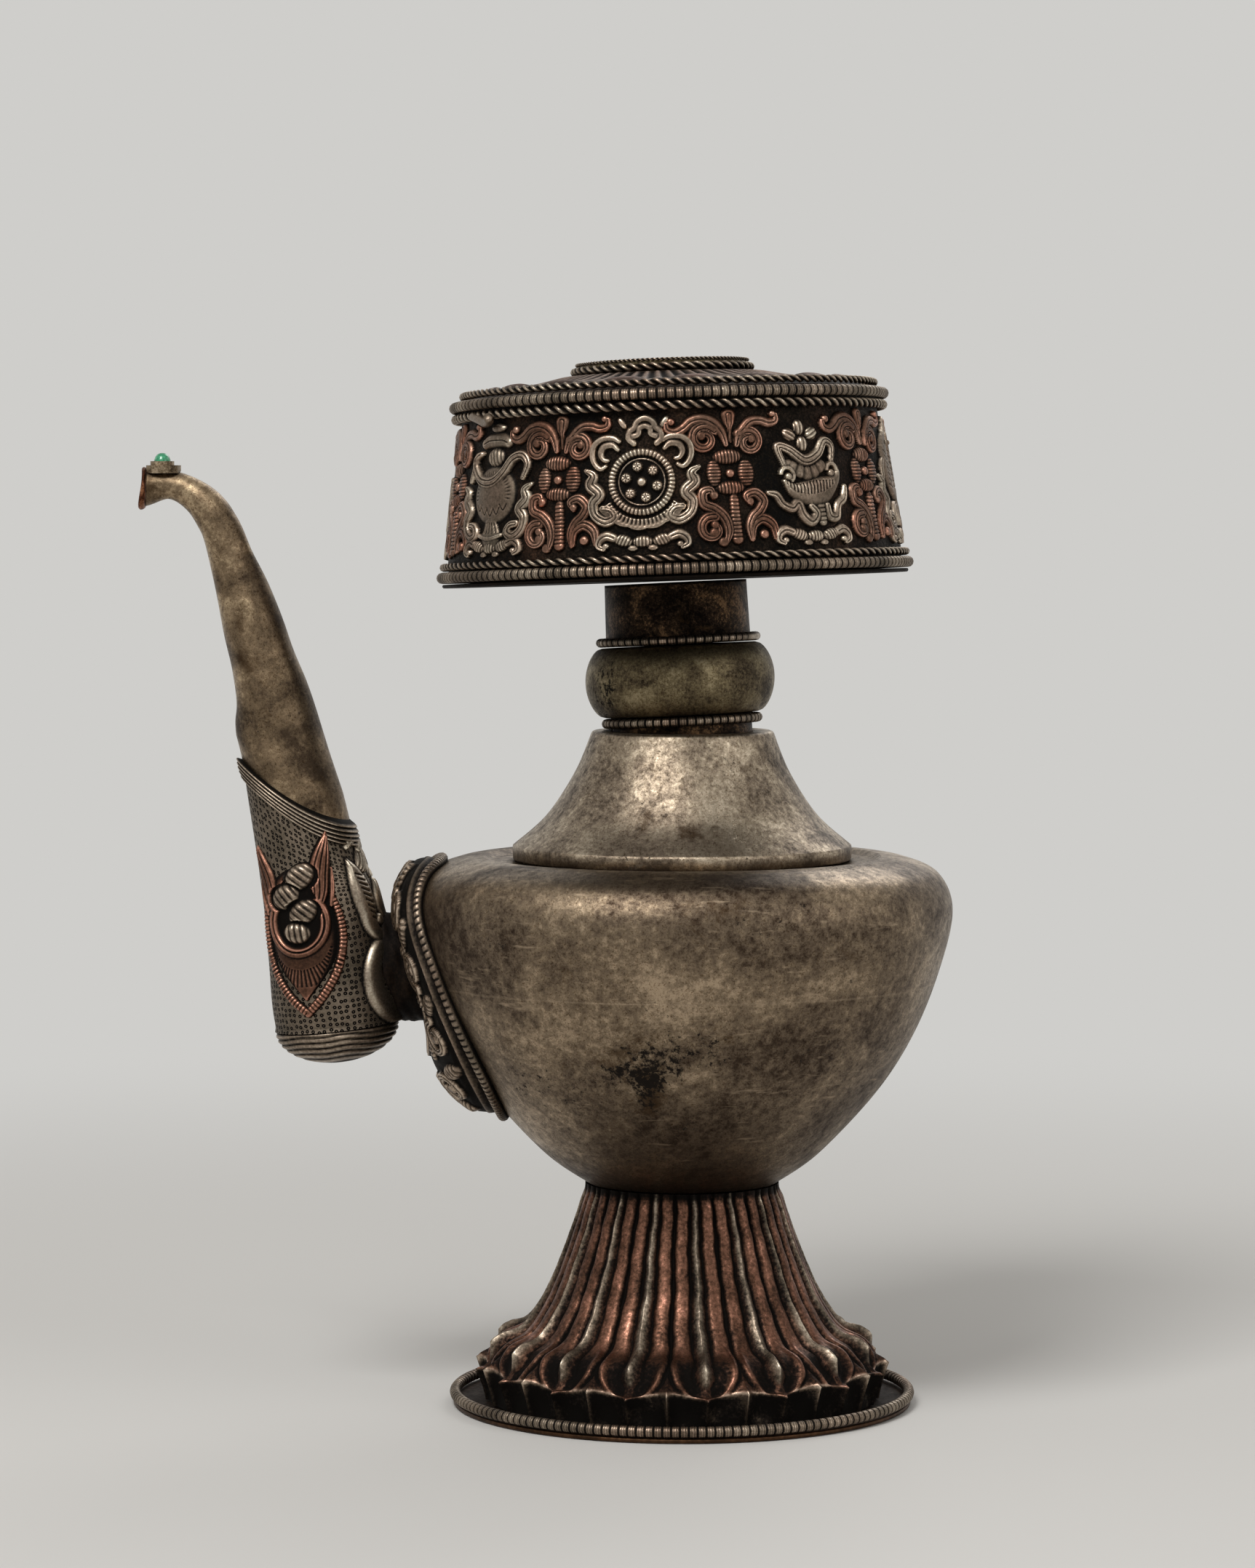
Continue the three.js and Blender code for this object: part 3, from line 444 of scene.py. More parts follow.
def raised_sheet(name, tones, stain, spots, size=28, stained=(), streaks=(), rubbed_smears_and_highlight=(), shade_painted_below=None,
                 seam=None, rough=0.4, grained=0.48):
    """Plain hammered silver, tarnished brown: cloudy in patches of a size in mm, pitted black, scratched in
    many ways. Stained and streaks list places that are stained black, smears those that are rubbed pale along
    level lines and also carry a painted highlight: x, y, z, reach and strength, in mm. A span of heights in mm
    can darken the sheet towards its lower end with painted shade. Grained is the share of the tone that the grain
    gives."""
    material, tree = new_material(name)
    place = add(tree, "TexCoord").outputs["Object"]
    cloud = add(tree, "TexNoise", {"Vector": place, "Scale": 1 / (size * MM), "Detail": 7.0, "Roughness": 0.6,
                                   "Distortion": 0.5})
    grain = add(tree, "TexNoise", {"Vector": place, "Scale": 1 / (size / 12 * MM), "Detail": 7.0,
                                   "Roughness": 0.76})
    clouded = add(tree, "Math", {0: cloud, 1: 1 - grained}, operation="MULTIPLY")
    level = add(tree, "Math", {0: grain, 1: grained, 2: clouded}, operation="MULTIPLY_ADD")
    colour = add(tree, "ValToRGB", {"Fac": level}, ramp=list(zip((0.39, 0.465, 0.53, 0.61), tones)))

    # fine scratches in three directions
    marks = []
    for turn, mm in ((0.5, 0.5), (-0.9, 0.7), (1.5, 0.6)):
        drawn = add(tree, "Mapping", {"Vector": place, "Rotation": (turn, 0.3 * turn, turn),
                                      "Scale": (1, 0.07, 1)})
        marks.append(add(tree, "TexNoise", {"Vector": drawn, "Scale": 1 / (mm * MM), "Detail": 3.0,
                                            "Roughness": 0.7}))
    scratch = add(tree, "Math", {0: marks[0], 1: marks[1]}, operation="MINIMUM")
    scratch = add(tree, "Math", {0: scratch, 1: marks[2]}, operation="MINIMUM")
    lines = add(tree, "MapRange", {"Value": scratch, "From Min": 0.3, "From Max": 0.43})
    worn = add(tree, "ValToRGB", {"Fac": lines}, ramp=[(0.0, "#94826c"), (1.0, "#ffffff")])
    shown = add(tree, "Mix", {"Factor": 0.85, "A": colour, "B": worn}, data_type="RGBA",
                blend_type="MULTIPLY").outputs["Result"]

    def nearness(listed, squeeze):
        """The strength of the listed places round each of them, drawn out or squeezed along the height."""
        pulled = add(tree, "VectorMath", {0: place, 1: (1, 1, squeeze)}, operation="MULTIPLY")
        total = 0.0
        for x, y, z, reach, strength in listed:
            away = add(tree, "VectorMath", {0: pulled, 1: (x * MM, y * MM, z * squeeze * MM)},
                       operation="DISTANCE").outputs["Value"]
            close = add(tree, "MapRange", {"Value": away, "From Min": 0.0, "From Max": reach * MM,
                                           "To Min": strength, "To Max": 0.0})
            total = add(tree, "Math", {0: total, 1: close}, operation="ADD")
        return total

    # each layer over the silver, as its share and its colour
    layers = []
    near = add(tree, "Math", {0: nearness(stained, 1.0), 1: nearness(streaks, 0.22)}, operation="ADD")
    # The pale smears, stretched along level lines, are rubbed wear and also a painted highlight band.
    if rubbed_smears_and_highlight:
        drawn = add(tree, "Mapping", {"Vector": place, "Scale": (0.14, 0.14, 1)})
        drag = add(tree, "TexNoise", {"Vector": drawn, "Scale": 1 / (1.6 * MM), "Detail": 4.0, "Roughness": 0.6})
        pale = add(tree, "Math", {0: drag, 1: nearness(rubbed_smears_and_highlight, 3.0)}, operation="ADD")
        rubbed = add(tree, "MapRange", {"Value": pale, "From Min": 0.62, "From Max": 0.74, "To Max": 0.6})
        layers.append((rubbed, tones[3]))
    # brown blots, and black pits gathered in fields and in the listed places
    blot = add(tree, "TexNoise", {"Vector": place, "Scale": 1 / (11 * MM), "Detail": 9.0, "Roughness": 0.74,
                                  "Distortion": 0.4})
    blot = add(tree, "Math", {0: near, 1: 1.25, 2: blot}, operation="MULTIPLY_ADD")
    blotted = add(tree, "MapRange", {"Value": blot, "From Min": 0.6, "From Max": 0.72, "To Max": 0.75})
    layers.append((blotted, "#41301f"))
    fields = add(tree, "TexNoise", {"Vector": place, "Scale": 1 / (24 * MM), "Detail": 3.0, "Roughness": 0.5})
    gather = add(tree, "MapRange", {"Value": fields, "From Min": 0.42, "From Max": 0.68, "To Min": -0.12,
                                    "To Max": spots})
    pit = add(tree, "TexNoise", {"Vector": place, "Scale": 1 / (1.6 * MM), "Detail": 7.0, "Roughness": 0.76})
    pit = add(tree, "Math", {0: pit, 1: gather}, operation="ADD")
    pit = add(tree, "Math", {0: near, 1: 0.62, 2: pit}, operation="MULTIPLY_ADD")
    pitted = add(tree, "MapRange", {"Value": pit, "From Min": 0.63, "From Max": 0.7})
    layers.append((pitted, stain))
    height = add(tree, "SeparateXYZ", {"Vector": place}).outputs["Z"]
    if seam:
        wander = add(tree, "Math", {0: cloud, 1: 1.4 * MM, 2: (seam - 0.7) * MM}, operation="MULTIPLY_ADD")
        off = add(tree, "Math", {0: height, 1: wander}, operation="SUBTRACT")
        off = add(tree, "Math", {0: off}, operation="ABSOLUTE")
        line = add(tree, "MapRange", {"Value": off, "From Min": 0.12 * MM, "From Max": 0.45 * MM,
                                      "To Min": 0.42, "To Max": 0.0})
        layers.append((add(tree, "Math", {0: line, 1: grain}, operation="MULTIPLY"), tones[3]))
    # Painted shade: below a span of heights the sheet darkens to its darkest tone, with a ragged upper edge.
    if shade_painted_below:
        low, high = shade_painted_below
        ragged = add(tree, "Math", {0: cloud, 1: 16 * MM, 2: height}, operation="MULTIPLY_ADD")
        shade = add(tree, "MapRange", {"Value": ragged, "From Min": (low + 8) * MM, "From Max": (high + 8) * MM,
                                       "To Min": 0.85, "To Max": 0.0})
        layers.append((shade, tones[0]))
    for share, over in layers:
        shown = add(tree, "Mix", {"Factor": share, "A": shown, "B": over}, data_type="RGBA").outputs["Result"]

    sheen = add(tree, "MapRange", {"Value": level, "From Min": 0.38, "From Max": 0.62, "To Min": rough + 0.16,
                                   "To Max": rough - 0.08})
    rough_sum = add(tree, "Math", {0: pitted, 1: 0.3, 2: sheen}, operation="MULTIPLY_ADD")
    metal = add(tree, "MapRange", {"Value": pitted, "To Min": 1.0, "To Max": 0.85})
    planish = add(tree, "TexVoronoi", {"Vector": place, "Scale": 1 / (4.5 * MM)}, feature="SMOOTH_F1")
    flats = add(tree, "Bump", {"Height": planish, "Strength": 0.16, "Distance": 0.3 * MM})
    grains = add(tree, "Bump", {"Height": grain, "Strength": 0.3, "Distance": 0.35 * MM, "Normal": flats})
    cuts = add(tree, "Bump", {"Height": scratch, "Strength": 0.35, "Distance": 0.08 * MM, "Normal": grains})
    etched = add(tree, "Bump", {"Height": pitted, "Strength": 0.5, "Distance": 0.1 * MM, "Normal": cuts},
                 invert=True)
    surface = add(tree, "BsdfPrincipled", {"Base Color": shown, "Metallic": metal, "Roughness": rough_sum,
                                           "Normal": etched})
    add(tree, "OutputMaterial", {"Surface": surface})
    return material


bowl_curve = curve(bowl_line, 161)
at_seam = int(np.searchsorted(bowl_curve[:100, 1], seam_height))
seam_point, below, above = (bowl_curve[at_seam + i] for i in (0, -1, 1))
# The bowl gets painted shade on its lowest part, just above the foot.
bowl_silver = raised_sheet("hammered_silver_bowl", ["#3f3329", "#685a4b", "#82725e", "#b09c83"], "#1e1813",
                           spots=0.12, shade_painted_below=(60, 70), seam=seam_height, rough=0.38,
                           stained=[(-16, -62, 96, 17, 0.15), (-10, -54, 84, 9, 0.16), (9, -66, 106, 7, 0.15),
                                    (-28, -62, 116, 12, 0.09), (4, -70, 134, 14, 0.08), (30, 52, 100, 20, 0.1),
                                    (52, -38, 112, 10, 0.08), (-45, -40, 97, 15, 0.1)],
                           # The pale smears on the front left are rubbed wear and a painted highlight band.
                           rubbed_smears_and_highlight=[(-50, -45, 117.5, 17, 0.15), (-34, -58, 119, 13, 0.1)],
                           streaks=[(-9, -57, 88, 5, 0.24), (-17, -47, 74, 4, 0.16), (3, -50, 76, 4, 0.12),
                                    (20, 56, 92, 5, 0.16)])
lower = [(0, bowl_bottom)] + [(r, bowl_bottom) for r in (8, 16, 22)] + [tuple(p) for p in bowl_curve[:at_seam]]
lower = [*lower, tuple(seam_point + 0.12 * (below - seam_point)), tuple(seam_point)]
upper = [tuple(seam_point), tuple(seam_point + 0.12 * (above - seam_point)), *bowl_curve[at_seam + 1:], *moat]
lower_half = turned("bowl_lower_half", walled(lower, sheet_mm), 220)
upper_half = turned("bowl_upper_half", walled(upper, sheet_mm), 220)
hammered(lower_half, 0.22, 9, 5)
hammered(upper_half, 0.22, 9, 5)
keep(lower_half, bowl_silver, "vessel", "bowl_lower")
keep(upper_half, bowl_silver, "vessel", "bowl_upper")


# Bell
# The collar between the shoulder and the neck, raised from one sheet, with an upright rim that stands in the
# sunk ring of the shoulder. A patch of its old lacquer has lifted at the front.

bell_bottom, bell_rim_top, bell_top = 146.8, 150.7, 181.4
bell_slope = curve([(45.4, bell_rim_top), (36.29, 158.8), (28.81, 170.3), (24.5, 180.8)], 60)
bell_line = [(45.0, bell_bottom), (45.4, bell_bottom + 0.5), (45.5, bell_rim_top - 0.7), *bell_slope,
             (24.2, 181.2), (23.7, bell_top), (19.4, bell_top)]
# The bell gets painted shade on its upright rim, where it stands in the shoulder's sunk ring.
bell_silver = raised_sheet("hammered_silver_bell", ["#4a4036", "#827464", "#a89984", "#dacab3"], "#221a14",
                           spots=0.1, size=20, shade_painted_below=(146, 150.5), rough=0.37,
                           stained=[(-10, -36, 158, 7, 0.11), (2, -38, 156, 5, 0.12), (14, -24, 172, 8, 0.08)])
bell = turned("bell", walled(bell_line, sheet_mm), 200)
hammered(bell, 0.15, 8, 11)
keep(bell, bell_silver, "vessel", "bell_collar")


# Escutcheon
# A shield of sheet silver, chased with a scrolling vine and riveted over the hole in the bowl that the
# spout's socket goes through. A notched wire is soldered round it, and black solder lies between both.

BARE = -0.5  # the height in mm at which a relief ends


def blurred(field, cells):
    """The field averaged over a square of cells."""
    for axis in (0, 1):
        width = [(cells + 1, cells) if axis == i else (0, 0) for i in (0, 1)]
        total = np.cumsum(np.pad(field, width, mode="edge"), axis=axis)
        size = field.shape[axis]
        low = np.take(total, np.arange(size), axis)
        high = np.take(total, np.arange(size) + 2 * cells + 1, axis)
        field = (high - low) / (2 * cells + 1)
    return field


class Relief:
    """A field of heights over places x and y, all in mm, that is built up stroke by stroke. Bold is how many
    times as wide as written the strokes are."""

    def __init__(self, x, y, ground=BARE, bold=1.0):
        self.x, self.y, self.bold = x, y, bold
        self.h = np.broadcast_to(np.asarray(ground, float), x.shape).copy()

    def raise_to(self, value, where=...):
        self.h[where] = np.maximum(self.h[where], value)

    def cut(self, value, where=...):
        self.h[where] -= value

    def nearest(self, line, margin):
        """Places near a line of (x, y, half width) points: where, signed share of width, run, width."""
        path = curve(line, 8 * len(line))
        reach = path[:, 2].max() + margin
        where = ((self.x > path[:, 0].min() - reach) & (self.x < path[:, 0].max() + reach)
                 & (self.y > path[:, 1].min() - reach) & (self.y < path[:, 1].max() + reach))
        x, y = self.x[where], self.y[where]
        start, step = path[:-1], np.diff(path, axis=0)
        size = (step[:, :2] ** 2).sum(1) + 1e-9
        dx, dy = x[:, None] - start[:, 0], y[:, None] - start[:, 1]
        t = np.clip((dx * step[:, 0] + dy * step[:, 1]) / size, 0, 1)
        far = np.hypot(dx - t * step[:, 0], dy - t * step[:, 1])
        best = far.argmin(1)
        rows = np.arange(len(x))
        t, far = t[rows, best], far[rows, best]
        side = np.sign(step[best, 0] * dy[rows, best] - step[best, 1] * dx[rows, best])
        run = np.concatenate([[0], np.cumsum(np.sqrt(size))])
        width = np.maximum(start[best, 2] + t * step[best, 2], 0.05)
        return where, side * far / width, run[best] + t * np.sqrt(size[best]), width

    def ribbon(self, line, height=1.3, lines=1, ribs=0.0, base=0.0):
        """A raised ribbon with fine lines along it or ribs across it at a pitch."""
        where, share, run, width = self.nearest([(x, y, w * self.bold) for x, y, w in line], 0.6)
        top = base + height * np.clip(width / 0.75, 0.45, 1)
        value = base + (top - base) * (1 - share**4)
        for i in range(lines):
            at = -1 + 2 * (i + 1) / (lines + 1)
            value = value - 0.3 * height * groove((share - at) * width, 0.16) * np.clip(width / 0.9, 0.3, 1)
        if ribs:
            value = value - 0.3 * height * (0.5 + 0.5 * np.cos(2 * np.pi * run / ribs)) ** 3
        self.raise_to(np.maximum(value, BARE), where)

    def chase(self, line, depth=0.4, width=0.22):
        """A groove struck along a line of (x, y) points."""
        where, share, _, _ = self.nearest([(x, y, 1) for x, y in line], 0.5)
        self.cut(depth * groove(share, width), where)

    def dome(self, x, y, across, up, height=1.3, hatch=None, turn=0.0, base=0.0):
        """A flat-topped oval boss. Hatch is how many lines per mm across and up."""
        c, s = math.cos(math.radians(turn)), math.sin(math.radians(turn))
        across, up = across * self.bold**0.5, up * self.bold**0.5
        dx, dy = self.x - x, self.y - y
        a, b = (c * dx + s * dy) / across, (c * dy - s * dx) / up
        q = a * a + b * b
        value = base + height * (1 - q**2.2)
        if hatch:
            lines = 0.5 + 0.5 * np.cos(2 * np.pi * (a * across * hatch[0] + b * up * hatch[1]))
            value = value - 0.34 * lines**2 * np.clip(2.4 * (1 - q), 0, 1)
        near = q < 2.5
        self.raise_to(np.maximum(value[near], BARE), near)

    def hoop(self, x, y, radius, width, height=1.3, notches=0, start=-180, end=180):
        """A raised ring of a half width, or a part of one from one turn to another, notched across."""
        dx, dy = self.x - x, self.y - y
        turn = np.degrees(np.arctan2(dy, dx))
        share = (np.hypot(dx, dy) - radius) / width
        value = height * (1 - share**4)
        if notches:
            value = value - 0.32 * height * (0.5 + 0.5 * np.cos(np.radians(turn) * notches)) ** 2
        inside = (turn >= start) & (turn <= end) & (np.abs(share) < 1.4)
        self.raise_to(np.maximum(value[inside], BARE), inside)

    def scroll(self, x, y, radius, turns, start, width, height=1.3, lines=1, way=1, inner=0.25):
        """A ribbon that winds inwards round a place and ends in a ball."""
        points = []
        for share in np.linspace(0, 1, 4 + int(8 * turns)):
            r = radius * (1 - (1 - inner) * share)
            at = math.radians(start + way * 360 * turns * share)
            points.append((x + r * math.cos(at), y + r * math.sin(at), width * (1 - 0.45 * share)))
        self.ribbon(points, height, lines)
        end = points[-1]
        self.dome(end[0], end[1], width * 0.95, width * 0.95, height * 1.08)

    def wear(self, cell, sharp=1.9, broad=0.28, level=0.5, dark=0.15):
        """How far each place is rubbed bright: high places and edges are, hollows and low ground aren't."""
        h = np.maximum(self.h, -0.25)
        fine = blurred(h, max(1, round(0.35 / cell)))
        wide = blurred(h, max(2, round(1.6 / cell)))
        low = 0.42 * (1 - smoothstep(self.h, dark, dark + 0.5))
        return np.clip(level + sharp * (h - fine) + broad * (h - wide) - low, 0.02, 1)


def flat_patch(width, height, cell):
    """The x and y of an even grid of points round zero, in mm."""
    columns, rows = round(width / cell), round(height / cell)
    return np.meshgrid(np.linspace(-width / 2, width / 2, columns + 1),
                       np.linspace(-height / 2, height / 2, rows + 1))


def relief_mesh(name, field, place, marks, seam=False):
    """The relief as a mesh, carried to its surface, without the places where it ends."""
    rows, columns = field.x.shape
    work = bmesh.new()
    work.loops.layers.uv.new("pattern")
    bmesh.ops.create_grid(work, x_segments=columns - 1, y_segments=rows - 1, size=0.5, calc_uvs=True)
    mesh = bpy.data.meshes.new(name)
    work.to_mesh(mesh)
    set_corners(mesh, np.stack(place(field.x.ravel(), field.y.ravel(), field.h.ravel()), 1))
    for label, values in marks.items():
        mark(mesh, label, np.broadcast_to(values, field.x.shape).ravel())
    work.clear()
    work.from_mesh(mesh)
    low = (field.h <= BARE + 0.02).ravel()
    gone = [f for f in work.faces if all(low[v.index] for v in f.verts)] if low.any() else []
    bmesh.ops.delete(work, geom=gone, context="FACES")
    if seam:
        bmesh.ops.remove_doubles(work, verts=[v for v in work.verts if v.is_boundary], dist=1e-6)
    work.to_mesh(mesh)
    work.free()
    return mesh


bowl_points = curve(bowl_line, 1601)
bowl_way, bowl_run = heading(bowl_points), length_along(bowl_points)
shield_half_width, shield_half_height = 27.8, 37.5
shield_rim, shield_bulge, shield_bulge_span = 5.4, 6.0, 24.0
shield_centre_height, shield_cell, shield_notches, shield_wire_radius = 111.5, 0.3, 130, 1.1
shield_centre = np.interp(shield_centre_height, bowl_points[:, 1], bowl_run)


def on_bowl(across, up, off):
    """A place on the left of the bowl: across towards the front, up along its outline, off its surface."""
    along = shield_centre + up
    way = [np.interp(along, bowl_run, bowl_way[:, i]) for i in (0, 1)]
    past = along - np.clip(along, 0, bowl_run[-1])
    base = [np.interp(along, bowl_run, bowl_points[:, i]) + past * way[i] for i in (0, 1)]
    radius = base[0] + off * way[1]
    turn = np.pi + across / base[0]
    return radius * np.cos(turn), radius * np.sin(turn), base[1] - off * way[0]


def shield_field():
    x, y = flat_patch(2 * shield_half_width + 1, 2 * shield_half_height + 1, shield_cell)
    out = np.hypot(x / shield_half_width, y / shield_half_height)
    bulge = shield_bulge * np.maximum(1 - out**2, 0) * smoothstep(-y, 0, shield_bulge_span)
    base = (shield_rim - 1.1 + bulge) * np.clip((1 - out) * 10, 0, 1) ** 0.5
    vine = Relief(x, y, 0.0, bold=1.2)
    motifs = 10
    for i in range(motifs):
        turn = 2 * math.pi * (i + 0.5) / motifs
        at = (shield_half_width * 0.76 * math.cos(turn), shield_half_height * 0.78 * math.sin(turn))
        way = 1 if i % 2 else -1
        lean = math.degrees(math.atan2(at[1] * 0.55, at[0]))
        vine.scroll(*at, 4.9, 1.15, lean + 100 * way, 1.35, 1.6, 2, way, 0.35)
        vine.dome(*at, 1.5, 1.5, 1.6)
        near = turn + math.pi / motifs
        leaf = (shield_half_width * 0.83 * math.cos(near), shield_half_height * 0.84 * math.sin(near))
        vine.dome(*leaf, 3.6, 2.2, 1.5, hatch=(0.8, 0), turn=lean + 60)
        vine.dome(leaf[0] * 0.7, leaf[1] * 0.7, 2.4, 1.6, 1.2, hatch=(0.8, 0), turn=lean - 50)
    rim = np.array([(math.cos(t) * shield_half_width * 0.965, math.sin(t) * shield_half_height * 0.972, 0.8)
                    for t in np.linspace(0, 2 * math.pi, 40)])
    vine.ribbon(rim, 0.9, 0)
    inner_rim = [(math.cos(t) * 17.5, 6.5 + math.sin(t) * 21, 0.7) for t in np.linspace(0, 2 * math.pi, 24)]
    vine.ribbon(inner_rim, 0.9, 1)
    vine.h = vine.h * np.clip((1 - out) * 12, 0, 1)
    wear = vine.wear(shield_cell, sharp=1.9, level=0.58)
    vine.h = np.where(out > 1.004, BARE, np.maximum(base + vine.h, 0.05))
    return vine, wear


chased = patinated("chased_silver_and_copper", silver_tones, copper_tones, grain_mm=0.8, shine=0.34)
shield, shield_wear = shield_field()
shield_mesh = relief_mesh("escutcheon_shield", shield, on_bowl, {"wear": shield_wear, "copper": 0.2})
keep(shield_mesh, chased, "vessel", "escutcheon_plate")


def shield_edge(turn, out, up):
    reach = shield_half_width + shield_wire_radius + out
    stretched = shield_half_height / shield_half_width
    return np.stack(on_bowl(reach * np.cos(turn), reach * np.sin(turn) * stretched, shield_wire_radius + up), 1)


def notched_band(turn, around):
    """A flat wire with short cuts across its crown. Its lower half is buried in black solder."""
    crown = np.sin(around)
    cuts = groove((turn / (2 * math.pi) * shield_notches) % 1 - 0.5, 0.16) * np.clip(2.4 * crown - 0.3, 0, 1)
    buried = np.clip(0.25 - 2.2 * crown, 0, 1)
    reach = 1 - 0.18 * cuts
    return reach * np.cos(around), 1.5 * reach * crown, 0.72 - 0.66 * cuts - 0.68 * buried


notched = wire_ring("escutcheon_notched_wire", shield_edge, shield_notches, 8, 12, notched_band)
keep(notched, silver_wire, "vessel", "escutcheon_rope_wire")


# Spout's socket
# A short thick oval tube of silver that carries the water from the bowl into the boot. It passes through
# the shield and is soldered at both ends, so that it is lumpy and black with old solder.

socket_height, socket_half_height, socket_half_width = 118.0, 14.5, 10.5
socket_from, socket_to = 66.0, 80.5
black_metal = patinated("soldered_black_silver", ["#0d0b0a", "#171310", "#261f19", "#43382c", "#7a6a54"],
                        copper_tones, grain_mm=0.9, pit_mm=0.3)


def socket_tube():
    """The tube lies along the Z axis first, and is then laid towards the spout."""
    line = [(1 + 0.05 * ((z - 76) / 8) ** 2, z) for z in np.linspace(socket_from, socket_to, 18)]
    mesh = turned("spout_socket_tube", walled(line, 0.25), 96)
    at = corners(mesh)
    turn = np.arctan2(at[:, 1], at[:, 0])
    lumps = 0.25 * np.sin(5 * turn + at[:, 2]) + 0.2 * np.sin(9 * turn - 1.7 * at[:, 2])
    set_corners(mesh, np.stack([-at[:, 2], at[:, 1] * (socket_half_width + lumps),
                                socket_height + at[:, 0] * (socket_half_height + lumps)], 1))
    mesh.flip_normals()
    mark(mesh, "wear", 0.3 + 0.12 * lumps)
    mark(mesh, "copper", 0.1)
    return mesh


keep(socket_tube(), black_metal, "vessel", "spout_socket")


# Spout's boot
# The lower shell of the spout, raised and chased: a ground of punched rings, silver leaves on the side of
# the bowl and a grooved cap below. All its lengths are measured up the spout's curved axis.

spout_foot_reach, spout_foot_height, spout_overhang, spout_rise = 92.6, 100.0, 52.0, 146.2
spout_axis_shares = [(0, 0), (0.046, 0.15), (0.18, 0.402), (0.409, 0.722), (0.519, 0.856), (0.604, 0.935),
                     (0.699, 0.98), (0.838, 1.006), (1, 1)]


def even_curve(points, steps):
    """A smooth line whose speed follows the gaps between its points, so that it has no loops."""
    points = np.array(points, float)
    padded = np.vstack([2 * points[0] - points[1], points, 2 * points[-1] - points[-2]])
    line = []
    for a, b, c, d in zip(padded, padded[1:], padded[2:], padded[3:]):
        gaps = [np.linalg.norm(q - p) ** 0.5 for p, q in ((a, b), (b, c), (c, d))]
        leave = ((b - a) / gaps[0] - (c - a) / (gaps[0] + gaps[1]) + (c - b) / gaps[1]) * gaps[1]
        arrive = ((c - b) / gaps[1] - (d - b) / (gaps[1] + gaps[2]) + (d - c) / gaps[2]) * gaps[1]
        for t in np.linspace(0, 1, steps, endpoint=False):
            line.append((2 * t**3 - 3 * t**2 + 1) * b + (t**3 - 2 * t**2 + t) * leave
                        + (3 * t**2 - 2 * t**3) * c + (t**3 - t**2) * arrive)
    return np.array([*line, points[-1]])


axis_points = even_curve([(-(spout_foot_reach + out * spout_overhang), spout_foot_height + up * spout_rise)
                          for out, up in spout_axis_shares], 40)
axis_run, axis_way = length_along(axis_points), heading(axis_points)
spout_length = axis_run[-1]

boot_seam, boot_length, boot_slant, boot_droop = 2.0, 64.0, 0.92, 3.0
band_width, cap_depth, boot_top, boot_cell = 5.5, 9.6, 66.0, 0.3
cap_radius, horn_root_radius, horn_taper_start = 16.4, 12.1, 74.0
boot_line = curve([(cap_radius, boot_seam), (16.8, 12.24), (15.39, 34.0), (horn_root_radius, boot_top)], 80)
horn_throat_radius, horn_throat_place, beak_radius, beak_place, horn_mouth_radius = 5.2, 141.0, 3.8, 8.0, 4.9
lip_place, mouth_slant = spout_length - 1.2, 0.2


def on_spout(across, side, along):
    """A place by the spout's axis: across towards the vase, side towards the back, along the axis."""
    past = along - np.clip(along, 0, spout_length)
    way = [np.interp(along, axis_run, axis_way[:, i]) for i in (0, 1)]
    at = [np.interp(along, axis_run, axis_points[:, i]) + past * way[i] for i in (0, 1)]
    return at[0] + across * way[1], side, at[1] - across * way[0]


def slant(x, y, along):
    """How far a place is lowered by the slanted edge between boot and horn and by the slanted mouth."""
    near_edge = 1 - smoothstep(np.abs(along - boot_top), band_width, boot_length / 2)
    near_mouth = smoothstep(along, horn_throat_place, lip_place - 0.3)
    droop = boot_droop * (y / horn_root_radius) ** 2
    return (boot_slant * x + droop) * near_edge + mouth_slant * x * near_mouth


def on_slanted_spout(x, y, along):
    return on_spout(x, y, along - slant(x, y, along))


def boot_radius(along):
    return np.interp(along, boot_line[:, 1], boot_line[:, 0])


